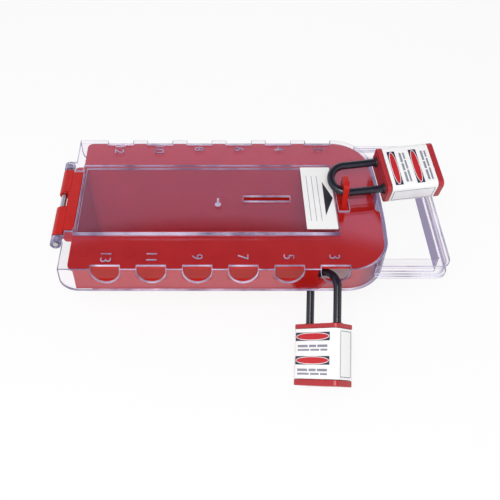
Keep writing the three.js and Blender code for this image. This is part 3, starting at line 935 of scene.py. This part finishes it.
    def is_broad(self, centre: Vector, normal: Vector) -> bool:
        """Whether a face is one of the cover's broad skins rather than a narrow edge.

        Args:
            centre: The face's centre in millimetres.
            normal: Its normal.

        Returns:
            True for a skin.
        """
        plan = self.plan
        inset = plan.inset(centre.x, centre.y)
        if abs(normal.z) > 0.9:
            high = plan.top + self.panel_rise
            return any(abs(centre.z - z) < 0.06 for top in (plan.top, high) for z in (top, top - plan.wall))
        on_skin = inset < 0.12 or abs(inset - plan.wall) < 0.12
        along_end = abs(normal.x) > 0.02 and centre.x < plan.right - plan.corner
        return abs(normal.z) < 0.1 and on_skin and not along_end

    def gate_mark(self) -> None:
        """The round mark and the small nub where the mould was filled."""
        top = self.plan.top + self.panel_rise
        outer, inner = self.gate_radii
        disc = rod(*self.gate, outer, top, top + self.gate_line)
        ring = cut(disc, rod(*self.gate, inner, top - 1, top + 1))
        piece(ring, "gate_ring", Body.COVER.value, CLEAR_PLASTIC, edge=0)
        nub = rod(*self.nub, top, top + self.nub_rise, sides=32)
        tail = block(*self.nub_tail, 0.8, top, top + self.nub_tail_rise)
        # The nub takes the painted edge light.
        piece(join(nub, tail), "gate_nub", Body.COVER.value, CLEAR_EDGE_PAINTED_LIGHT, edge=0.1)

    def numbers(self) -> None:
        """Raised position numbers beside the notches."""
        glyphs = []
        for i, x in enumerate(self.plan.holes):
            for first, y in self.number_rows:
                glyphs.append(self.glyph(str(first - 2 * i), x + self.number_shift, y))
        # The raised numbers take the painted edge light.
        piece(gathered(glyphs), "position_numbers", Body.COVER.value, CLEAR_EDGE_PAINTED_LIGHT, edge=0)

    def glyph(self, text: str, x: float, y: float) -> Solid:
        """A raised number that is read from the box's left end.

        Args:
            text: The number.
            x: Its centre.
            y: Its centre.

        Returns:
            The solid.
        """
        curve = bpy.data.curves.new("number", "FONT")
        curve.body = text
        curve.align_x = "CENTER"
        curve.align_y = "CENTER"
        curve.size = self.number_size * MM
        curve.offset = -self.number_relief * MM
        curve.extrude = self.number_relief * MM
        curve.resolution_u = 6
        holder = linked("number", curve)
        graph = bpy.context.evaluated_depsgraph_get()
        mesh = bpy.data.meshes.new_from_object(holder.evaluated_get(graph))
        bpy.data.objects.remove(holder)
        bpy.data.curves.remove(curve)
        place = Vector((x, y, self.plan.top + self.number_lift)) * MM
        mesh.transform(Matrix.Translation(place) @ Matrix.Rotation(-math.pi / 2, 4, "Z"))
        return linked("number", mesh)


@dataclass
class BaseTray:
    """The red tray: trough, flange, skirt, hinge flap and lock eye.

    The end gap is given by its depth, its tool's right end and half its width, the tab under the hinge by its
    left end, half its width and its depth, and the eye's hole by its y, z and radius.
    """

    plan: Plan
    gap: float = 0.3
    overlap: float = 0.02
    trough_half: float = 42.0
    trough_left: float = -120.0
    trough_right: float = 96.0
    trough_corner: float = 6.0
    trough_draft: float = 5.0
    trough_foot: float = 3.5
    trough_foot_steps: int = 6
    flange_corner: float = 5.0
    skirt_left: float = -115.7
    skirt_rise: float = 0.4
    end_gap: Triple = (3.5, 142.0, 12.0)
    end_gap_corner: float = 3.0
    hole_half: float = 13.0
    hole_drop: float = 16.0
    hole_corner: float = 5.0
    bite_depth: float = 2.0
    bite_slant: float = 1.2
    tab: Triple = (-127.5, 43.0, 3.7)
    tab_corner: float = 4.0
    flap: Pair = (-129.0, -119.5)
    flap_half: float = 34.5
    flap_heights: Pair = (74.3, 79.8)
    flap_corner: float = 0.8
    knuckle_radius: float = 4.4
    knuckles: tuple[Pair, ...] = ((-39.5, -8.0), (9.5, 37.5))
    eye_x: float = 104.0
    eye_thickness: float = 4.6
    eye_rise: float = 22.0
    eye_base: float = 11.0
    eye_tip: float = 7.5
    eye_corner: float = 4.0
    eye_hole: Triple = (-1.0, 89.8, 6.1)
    mark_depth: float = 0.15
    floor_marks: tuple[Pair, ...] = ((-60, -20), (20, -20), (-60, 20), (20, 20))
    floor_mark: float = 4.4
    flange_marks: tuple[Pair, ...] = ((-108, -58), (-72, -58))
    flange_mark: float = 4.2

    @property
    def inset(self) -> float:
        """How far the tray lies inside the cover's outside."""
        return self.plan.wall + self.gap

    @property
    def flange_top(self) -> float:
        """Height of the flange's upper face."""
        return self.plan.top - self.plan.wall - self.gap

    @property
    def under(self) -> float:
        """Height of the flange's underside."""
        return self.flange_top - self.plan.wall

    @property
    def outer(self) -> float:
        """Half the tray's width."""
        return self.plan.half_width - self.inset

    def lock_hole(self, x: float, side: int) -> Solid:
        """The tool that cuts one hole in the tray's skirt.

        Args:
            x: Its centre.
            side: -1 for the front row, 1 for the rear row.

        Returns:
            The tool.
        """
        corners = (self.hole_corner, self.hole_corner, 0, 0)
        shape = (x - self.hole_half, x + self.hole_half, self.plan.top - self.hole_drop, self.under, corners)
        span = sorted((side * (self.outer - self.plan.wall - 1), side * (self.outer + 1)))
        return block(*shape, *span, Along.Y, 8)

    def bite(self, x: float, side: int) -> Solid:
        """The tool that trims the flange behind one notch.

        Args:
            x: Its centre.
            side: -1 for the front row, 1 for the rear row.

        Returns:
            The tool.
        """
        half = self.plan.notch_half
        wide = half + self.bite_slant
        deep, edge, past = (side * (self.outer + d) for d in (-self.bite_depth, 0, 1))
        outline = [(x - half, deep), (x + half, deep), (x + wide, edge), (x + wide, past)]
        outline += [(x - wide, past), (x - wide, edge)]
        return extruded(outline, self.under - self.overlap, self.plan.top)

    def eye(self) -> Solid:
        """The lock eye: a plate that stands up through the cover, with a hole for a shackle.

        Returns:
            The solid.
        """
        top, base, r = self.plan.top + self.eye_rise, self.flange_top - 1, self.eye_corner
        outline = [(-self.eye_base, base), (self.eye_base, base)]
        outline += arc(self.eye_tip - r, top - r, r, 5, 90, 8) + arc(r - self.eye_tip, top - r, r, 90, 175, 8)
        half = self.eye_thickness / 2
        plate = extruded(outline, self.eye_x - half, self.eye_x + half, Along.X)
        return cut(plate, rod(*self.eye_hole, self.eye_x - 9, self.eye_x + 9, Along.X, 48))

    def knuckle(self, span: Pair) -> Solid:
        """One hinge knuckle and the web that carries it.

        Args:
            span: Where it starts and ends across the box.

        Returns:
            The solid.
        """
        x, z, r = self.plan.hinge_x, self.plan.hinge_z, self.knuckle_radius
        web = (x, self.flap[0] + 1, z - r / 2, z + r - self.overlap)
        return join(rod(x, z, r, *span, Along.Y, 48), block(*web, 0, *span, Along.Y))

    def rim(self) -> Solid:
        """The flange with the skirt under it, cut for the locks and the end gap.

        Returns:
            The solid.
        """
        plan = self.plan
        left, wall, bottom = self.trough_left, plan.wall, plan.skirt_bottom
        flange = extruded(plan.outline(left, self.inset, self.flange_corner), self.under, self.flange_top)
        skirt = cut(
            extruded(plan.outline(left, self.inset), bottom + self.skirt_rise, self.under + self.overlap),
            extruded(plan.outline(left - 1, self.inset + wall), bottom - 1, plan.top),
            block(left - 1, self.skirt_left, -80, 80, 0, 50, plan.top),
        )
        deep, right, half = self.end_gap
        corners = (self.end_gap_corner, 0, 0, self.end_gap_corner)
        return cut(
            join(flange, skirt),
            block(plan.right - self.inset + plan.arch - deep, right, -half, half, corners, 50, plan.top),
            plan.at_holes(self.lock_hole),
            plan.at_holes(self.bite),
        )

    def build(self) -> None:
        """Builds the tray."""
        plan = self.plan
        trough = self.tub(0.0, 0.0, self.flange_top - self.overlap)
        rim = self.rim()
        tab_left, tab_half, tab_deep = self.tab
        corners = (self.tab_corner, 0, 0, self.tab_corner)
        tab_low = self.flange_top - tab_deep
        tab = block(tab_left, self.trough_left + 2, -tab_half, tab_half, corners, tab_low, self.flange_top)
        body = cut(join(trough, rim, tab), self.tub(plan.wall, plan.wall, plan.top + 1))
        flap = block(*self.flap, -self.flap_half, self.flap_half, self.flap_corner, *self.flap_heights)
        body = join(body, flap, *[self.knuckle(span) for span in self.knuckles], self.eye())
        body = cut(body, plan.pin_bore(), self.ejector_marks())
        nodes = ("tray_trough", "tray_flange", "tray_front_skirt", "tray_rear_skirt")
        piece(body, "red_tray", Body.TRAY.value, RED_PLASTIC, (*nodes, "hinge_flap", "lock_eye"), edge=0.3)

    def tub(self, inset: float, floor: float, top: float) -> Solid:
        """The trough's outside, or its inside as a tool: walls that lean in and a rounded foot.

        Args:
            inset: How far its walls lie inside the trough's outside.
            floor: Its lowest height.
            top: Its highest.

        Returns:
            The solid.
        """
        rim = self.plan.top - 2 * self.plan.wall - self.gap
        foot, steps = self.trough_foot, self.trough_foot_steps
        turns = [math.pi / 2 * i / steps for i in range(steps + 1)]
        levels = [(floor + foot * (1 - math.cos(a)), foot * (1 - math.sin(a))) for a in turns]
        rings = []
        for z, extra in levels + [(top, 0.0)]:
            lean = inset + extra + self.trough_draft * max(0.0, 1 - z / rim)
            low, high = self.trough_left + lean, self.trough_right - lean
            half = self.trough_half - lean
            outline = rounded(low, high, -half, half, self.trough_corner - inset)
            rings.append([Vector((x, y, z)) for x, y in outline])
        return lofted(rings)

    def ejector_marks(self) -> Solid:
        """Shallow round marks that the mould's ejector pins leave.

        Returns:
            The tools that press them.
        """
        floor, flange = self.plan.wall - self.mark_depth, self.flange_top - self.mark_depth
        marks = [rod(*place, self.floor_mark, floor, 3, sides=32) for place in self.floor_marks]
        marks += [rod(*place, self.flange_mark, flange, 79, sides=32) for place in self.flange_marks]
        return gathered(marks)


@dataclass
class HingePin:
    """The steel rod that the cover turns on."""

    plan: Plan
    half_length: float = 47.5

    def build(self) -> None:
        """Builds the pin with chamfered ends."""
        x, z, half = self.plan.hinge_x, self.plan.hinge_z, self.half_length
        pin = rod(x, z, self.plan.pin_radius, -half, half, Along.Y, 48)
        piece(pin, "steel_hinge_pin", Body.TRAY.value, BRIGHT_STEEL, ("hinge_pin",), edge=0.4)


@dataclass
class PositionLabel:
    """The white label beside the lock eye, with an arrow and ruled lines to write on."""

    left: float = 70.5
    right: float = 96.0
    half: float = 37.0
    corner: float = 0.8
    bottom: float = 82.5
    thickness: float = 0.4
    ink: float = 0.05
    arrow: tuple[Pair, ...] = ((87.4, -21.7), (95.2, -1.2), (87.9, 18.6))
    rules: tuple[float, ...] = (74.6, 79.0, 83.4)
    rule_width: float = 0.45
    rule_span: Pair = (-28, 26)

    def build(self) -> None:
        """Builds the label and its print."""
        top = self.bottom + self.thickness
        sheet = block(self.left, self.right, -self.half, self.half, self.corner, self.bottom, top)
        piece(sheet, "label_sheet", Body.COVER.value, LABEL_VINYL, ("position_label",), edge=0.08)
        arrow = extruded(list(self.arrow), top, top + self.ink)
        piece(arrow, "label_arrow", Body.COVER.value, INK_BLACK, edge=0)
        ends = [(x, x + self.rule_width) for x in self.rules]
        rules = [block(*end, *self.rule_span, 0.1, top, top + self.ink, steps=3) for end in ends]
        piece(gathered(rules), "label_rules", Body.COVER.value, INK_GREY, edge=0)


@dataclass(frozen=True)
class LockPrint:
    """The print on a padlock's label: two panels on each face and a frame on each narrow side.

    Grounds, rims and ovals are given as half their length and height; a row of words as how far it lies below
    its panel's middle, its height and the lengths of its bars; frame and window as half their width, their
    margin above and below, and their corner radius.
    """

    sink: float = 0.02
    rises: Triple = (0.04, 0.07, 0.10)
    middle: float = 1.6
    drops: Pair = (6.2, 24.6)
    ground: Pair = (16.6, 3.3)
    rim: Pair = (16.0, 3.0)
    oval: Pair = (15.4, 2.5)
    squareness: float = 0.85
    oval_sides: int = 48
    rows: tuple[tuple[float, float, tuple[float, ...]], ...] = (
        (6.4, 1.9, (9.5, 7.0, 10.0)),
        (9.6, 1.5, (6.5, 8.5, 11.5)),
    )
    space: float = 1.2
    corner: float = 0.2
    frame_rise: float = 0.05
    frame: Triple = (6.6, 1.8, 0.4)
    window: Triple = (6.2, 2.2, 0.3)

    def oval_outline(self, x: float, z: float, half: float, rise: float) -> Outline:
        """A long oval with full ends.

        Args:
            x: Its centre.
            z: Its centre.
            half: Half its length.
            rise: Half its height.

        Returns:
            The outline.
        """
        outline = []
        for i in range(self.oval_sides):
            turn = 2 * math.pi * i / self.oval_sides
            across = math.copysign(abs(math.cos(turn)) ** self.squareness, math.cos(turn))
            outline.append((x + half * across, z + rise * math.sin(turn)))
        return outline

    def words(self, x: float, z: float, side: int, span: list[float]) -> list[Solid]:
        """The bars that stand for a panel's words.

        Args:
            x: The panel's middle.
            z: Its height.
            side: The face that it is on: -1 or 1.
            span: How thick the ink is there.

        Returns:
            The bars.
        """
        bars = []
        for down, tall, lengths in self.rows:
            at = x - side * (sum(lengths) / 2 + self.space)
            for length in lengths:
                ends = sorted((at, at + side * length))
                bars.append(block(*ends, z - down - tall, z - down, self.corner, *span, Along.Y, 2))
                at += side * (length + self.space)
        return bars


@dataclass
class Padlock:
    """A safety padlock, built upright with its upper face at height 0 and placed by its axes."""

    prefix: str
    place: Matrix
    width: float = 43.2
    thickness: float = 22.6
    height: float = 47.7
    corner: float = 4.5
    top_cap: float = 3.6
    bottom_cap: float = 4.8
    wrap: float = 0.6
    gap: float = 0.3
    bar: float = 3.2
    spacing: float = 26.7
    straight: float = 28.6
    heel_depth: float = 29.8
    toe_depth: float = 18.3
    bar_sides: int = 40
    bow_steps: int = 48
    latch_radius: float = 2.3
    latch_bite: float = 1.2
    latch_z: float = -15.4
    latch_half: float = 10.4
    guide: float = 4.3
    guide_rise: float = 1.2
    well: float = 3.55
    cylinder: float = 6.4
    cylinder_height: float = 25.0
    plug: float = 4.5
    plug_rise: float = 0.4
    keyway: Sides = (-0.75, 0.75, -5.5, 1.9)
    pin_radius: float = 1.35
    pin_pitch: float = 3.6
    pin_first: float = 6.0
    pin_count: int = 5
    print: LockPrint = LockPrint()

    def section(self, inset: float) -> Outline:
        """The body's cross-section, inset all round."""
        x, y = self.width / 2 - inset, self.thickness / 2 - inset
        return rounded(-x, x, -y, y, self.corner - inset, 12)

    def add(
        self, solid: Solid, name: str, body: str, finish: Finish, nodes: tuple[str, ...] = (), edge: float = 0
    ) -> None:
        """Finishes one piece of this padlock.

        Args:
            solid: The solid in the padlock's own frame.
            name: The piece's name without the prefix.
            body: The body's name without the prefix.
            finish: Its surface.
            nodes: CAD nodes it stands for, without the prefix.
            edge: Width of its rounded edges.
        """
        stands_for = tuple(f"{self.prefix}_{n}" for n in nodes)
        piece(solid, f"{self.prefix}_{name}", f"{self.prefix}_{body}", finish, stands_for, edge, self.place)

    def build(self) -> None:
        """Builds the padlock's outer pieces and dresses those inside."""
        self.build_shackle()
        self.build_caps()
        self.build_wrap()
        self.build_print()
        self.build_frames()
        self.build_cylinder()
        for name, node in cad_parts.items():
            if name.startswith(self.prefix) and not node.hide_render:
                self.dress(name[len(self.prefix) + 1 :], node)

    def dress(self, name: str, node: Solid) -> None:
        """Gives a CAD node inside the padlock its finish.

        Args:
            name: The node's name without the prefix.
            node: The node.
        """
        fitting = [found for start, found in INNER_FINISHES.items() if name.startswith(start)]
        finish = fitting[0] if fitting else LOCK_STEEL
        node.data.materials.clear()
        node.data.materials.append(finish.material())
        LOG.info("%s_%s: the CAD's own mesh", self.prefix, name)

    def build_shackle(self) -> None:
        """The shackle: a round bar bent to a bow, with its latch notches."""
        across = Vector((0, 1, 0))
        half = self.spacing / 2
        stations = [(Vector((-half, 0, -self.toe_depth)), Vector((1, 0, 0)), across)]
        for i in range(self.bow_steps + 1):
            turn = math.pi * (1 - i / self.bow_steps)
            out = Vector((math.cos(turn), 0, math.sin(turn)))
            stations.append((out * half + Vector((0, 0, self.straight)), -out, across))
        stations.append((Vector((half, 0, -self.heel_depth)), Vector((-1, 0, 0)), across))
        ring = arc(0, 0, self.bar, 0, 360, self.bar_sides)[:-1]
        bar = lofted([[centre + u * x + v * y for x, y in ring] for centre, u, v in stations])
        x = half - self.bar + self.latch_bite - self.latch_radius
        span = (-self.latch_half, self.latch_half)
        latches = [rod(side * x, self.latch_z, self.latch_radius, *span, Along.Y, 32) for side in (-1, 1)]
        self.add(cut(bar, gathered(latches)), "shackle_bar", "shackle", BLACK_COATING, ("shackle",), 0.3)

    def build_caps(self) -> None:
        """The upper and lower caps and the two collars round the legs."""
        half = self.spacing / 2
        cap = extruded(self.section(0), -self.top_cap, 0)
        holes = [rod(x, 0, self.guide + self.gap, -self.top_cap - 1, 1) for x in (-half, half)]
        self.add(cut(cap, gathered(holes)), "upper_cap", "case", CRIMSON_PLASTIC, ("top_cap",), 0.6)
        for side, x in (("toe", -half), ("heel", half)):
            collar = cut(rod(x, 0, self.guide, -self.top_cap, self.guide_rise), rod(x, 0, self.well, -9, 9))
            self.add(collar, f"{side}_collar", "case", BLACK_PLASTIC, (f"{side}_guide",), 0.35)
        foot = extruded(self.section(0), -self.height, -self.height + self.bottom_cap)
        foot = cut(foot, rod(0, 0, self.cylinder + self.gap, -self.height - 1, -30))
        self.add(foot, "lower_cap", "case", CRIMSON_PLASTIC, ("bottom_cap",), 0.6)

    @property
    def wrap_span(self) -> Pair:
        """Where the label starts and ends in height."""
        return -self.height + self.bottom_cap + self.gap, -self.top_cap - self.gap

    def build_wrap(self) -> None:
        """The white label round the body."""
        low, high = self.wrap_span
        wrap = cut(extruded(self.section(0), low, high), extruded(self.section(self.wrap), low - 1, high + 1))
        self.add(wrap, "write_on_wrap", "case", LABEL_VINYL, ("label_wrap",), 0.1)

    def build_print(self) -> None:
        """The panels, ovals and bars on the label's two faces."""
        ink, face = self.print, self.thickness / 2
        grounds, ovals, rims, rules = [], [], [], []
        for side in (-1, 1):
            low, mid, high = (sorted((side * (face - ink.sink), side * (face + rise))) for rise in ink.rises)
            x = side * ink.middle
            for drop in ink.drops:
                z = self.wrap_span[1] - drop
                wide, tall = ink.ground
                grounds.append(block(x - wide, x + wide, z - tall, z + tall, ink.corner, *low, Along.Y, 2))
                rims.append(extruded(ink.oval_outline(x, z, *ink.rim), *mid, Along.Y))
                ovals.append(extruded(ink.oval_outline(x, z, *ink.oval), *high, Along.Y))
                rules += ink.words(x, z, side, low)
        self.add(gathered(grounds), "print_grounds", "case", INK_NAVY)
        self.add(gathered(rims), "print_rims", "case", LABEL_VINYL)
        self.add(gathered(ovals), "print_ovals", "case", INK_RED)
        self.add(gathered(rules), "print_rules", "case", INK_GREY)

    def build_frames(self) -> None:
        """The thin frames on the label's narrow sides, to write a name in."""
        ink, edge = self.print, self.width / 2
        low, high = self.wrap_span
        frames = []
        for side in (-1, 1):
            start, end = sorted((side * (edge - ink.sink), side * (edge + ink.frame_rise)))
            solids = []
            for (half, margin, corner), past in ((ink.frame, 0), (ink.window, 1)):
                shape = (-half, half, low + margin, high - margin, corner)
                solids.append(block(*shape, start - past, end + past, Along.X, 4))
            frames.append(cut(*solids))
        self.add(gathered(frames), "name_frames", "case", INK_NAVY)

    def pin_holes(self, length: float) -> Solid:
        """The tool that drills the row of holes for the pins."""
        heights = [-self.height + self.pin_first + i * self.pin_pitch for i in range(self.pin_count)]
        return gathered([rod(0, z, self.pin_radius, 0, length, Along.Y, 24) for z in heights])

    def build_cylinder(self) -> None:
        """The brass lock cylinder and its key plug."""
        low = -self.height + self.gap
        high = low + self.cylinder_height
        bore = rod(0, 0, self.plug + self.gap, low - 1, high + 1)
        shell = cut(rod(0, 0, self.cylinder, low, high), bore, self.pin_holes(8))
        self.add(shell, "lock_cylinder", "case", BRASS, ("cylinder",), 0.25)
        keyway = block(*self.keyway, 0.3, low - 1, high - 2, steps=4)
        plug = cut(rod(0, 0, self.plug, low + self.plug_rise, high), keyway, self.pin_holes(6))
        self.add(plug, "key_barrel", "plug", BRASS, ("key_plug",), 0.2)


@dataclass(frozen=True)
class Lie:
    """How a padlock lies: a line from bow to body, given by its heading, its rise and the turn about it.

    The eye is a point on that line, reach says how far on the body's upper face is, and side how far the line
    is from the padlock's middle. Angles are in degrees.
    """

    yaw: float
    pitch: float
    roll: float
    eye: Triple
    reach: float
    side: float

    def matrix(self) -> Matrix:
        """Where the padlock's own frame lies in the part's.

        Returns:
            The matrix, in metres.
        """
        y, p, r = (math.radians(v) for v in (self.yaw, self.pitch, self.roll))
        a = Vector((math.cos(y) * math.cos(p), math.sin(y) * math.cos(p), math.sin(p)))
        level = Vector((0, 0, 1)).cross(a).normalized()
        w = level * math.cos(r) + a.cross(level) * math.sin(r)
        origin = (Vector(self.eye) + a * self.reach + w * self.side) * MM
        return Matrix.Translation(origin) @ Matrix((w, w.cross(a), -a)).transposed().to_4x4()


ON_LOCK_EYE = Lie(7.7, 1.1, 13.8, (104.0, -2.2, 89.8), 33.5, Padlock.spacing / 2)
IN_FRONT_HOLE = Lie(-93.2, -30.1, 44.3, (82.8, -78.3, 56.9), Padlock.straight, 0.0)


@dataclass(frozen=True)
class Lamp:
    """A soft disk lamp that shines on the box; its place and diameter are in metres."""

    name: str
    place: Triple
    size: float
    watts: float

    def build(self) -> None:
        """Puts the lamp into the scene."""
        data = bpy.data.lights.new(self.name, "AREA")
        data.shape = "DISK"
        data.size = self.size
        data.energy = self.watts
        obj = linked(self.name, data)
        obj.location = self.place
        obj.rotation_euler = Vector(self.place).to_track_quat("Z", "Y").to_euler()


@dataclass
class Studio:
    """Camera, surround, lamps and floor.

    Light falls on the object and mirrored is what it reflects, each as colours by height, the sine of
    elevation. The floor's shade is given by its middle and half its length along X and Y, in metres.
    """

    eye: Triple = (-6.1, -432.5, 504.2)
    focal_pixels: float = 714.0
    frame_pixels: float = 500.0
    centre_shift: float = 0.075
    downward: float = 48.5
    light: tuple[tuple[float, Colour], ...] = ((0.0, (0.62, 0.62, 0.63)), (1.0, (0.40, 0.40, 0.42)))
    mirrored: tuple[tuple[float, Colour], ...] = (
        (0.0, (1.0, 1.0, 1.0)),
        (0.58, (0.90, 0.86, 1.0)),
        (0.69, (0.78, 0.75, 0.98)),
        (0.715, (0.70, 0.66, 0.86)),
        (0.732, (0.10, 0.09, 0.12)),
        (1.0, (0.05, 0.05, 0.07)),
    )
    lamps: tuple[Lamp, ...] = (
        Lamp("key_lamp", (-0.5, -0.7, 1.2), 0.9, 3.0),
        Lamp("front_lamp", (-0.06, -0.72, 0.95), 0.5, 7.8),
    )
    shade_x: Pair = (0.006, 0.120)
    shade_y: Pair = (0.0, 0.027)
    shade_edge: Pair = (-0.004, 0.005)
    floor_glow: float = 0.88
    floor_half: float = 3000.0
    floor_tones: tuple[Colour, Colour] = ((0.88, 0.88, 0.89), (0.90, 0.90, 0.90))

    def camera(self) -> None:
        """The camera, at the photograph's place."""
        data = bpy.data.cameras.new("camera")
        data.sensor_width = 36.0
        data.lens = self.focal_pixels / self.frame_pixels * data.sensor_width
        data.shift_x = self.centre_shift
        data.clip_start, data.clip_end = 0.01, 20.0
        obj = linked("camera", data)
        obj.location = Vector(self.eye) * MM
        obj.rotation_euler = (math.radians(90 - self.downward), 0, 0)
        bpy.context.scene.camera = obj

    def surround(self) -> None:
        """A pale surround that lights the object evenly, and in its mirror turns dark overhead."""
        world = bpy.data.worlds.new("surround")
        bpy.context.scene.world = world
        nodes = Nodes(world, "ShaderNodeOutputWorld")
        height = nodes.place("Generated")["Z"]
        mix = nodes.add("ShaderNodeMix")
        mix.data_type = "RGBA"
        nodes.feed(mix.inputs["Factor"], nodes.seen())
        nodes.feed(mix.inputs["A"], nodes.ramp(height, *self.light))
        nodes.feed(mix.inputs["B"], nodes.ramp(height, *self.mirrored))
        background = nodes.add("ShaderNodeBackground", Color=mix.outputs["Result"])
        nodes.feed(nodes.output.inputs["Surface"], background.outputs["Background"])

    def floor(self) -> None:
        """A plain pale floor that looks white, save under the tray, where its soft shadow is seen."""
        material = bpy.data.materials.new("floor_finish")
        nodes = Nodes(material)
        shade = nodes.add("ShaderNodeBsdfDiffuse", Color=nodes.mottle(nodes.noise(3.0), *self.floor_tones))
        glow = nodes.add("ShaderNodeEmission", Strength=1.0)
        place = nodes.place("Object")
        past = []
        for axis, (middle, half) in (("X", self.shade_x), ("Y", self.shade_y)):
            away = nodes.math("ABSOLUTE", nodes.math("SUBTRACT", place[axis], middle))
            past.append(nodes.math("SUBTRACT", away, half))
        outside = nodes.ranged(nodes.math("MAXIMUM", *past), 0.0, self.floor_glow, self.shade_edge)
        outside.node.interpolation_type = "SMOOTHSTEP"
        nodes.mixed(nodes.math("MULTIPLY", nodes.seen(), outside), shade, glow)
        half = self.floor_half
        ground = block(-half, half, -half, half, 0, -10, 0)
        ground.name = "floor"
        ground.data.materials.append(material)

    def build(self) -> None:
        """Sets the view transform and builds the studio round the object."""
        bpy.context.scene.view_settings.view_transform = "Standard"
        self.surround()
        for lamp in self.lamps:
            lamp.build()
        self.floor()


def main() -> None:
    """Builds everything in order."""
    logging.basicConfig(level=logging.INFO)
    studio = Studio()
    studio.camera()
    plan = Plan()
    BaseTray(plan).build()
    ClearCover(plan).build()
    HingePin(plan).build()
    PositionLabel().build()
    Padlock("padlock_1", ON_LOCK_EYE.matrix()).build()
    Padlock("padlock_2", IN_FRONT_HOLE.matrix()).build()
    studio.build()


if __name__ == "__main__":
    main()
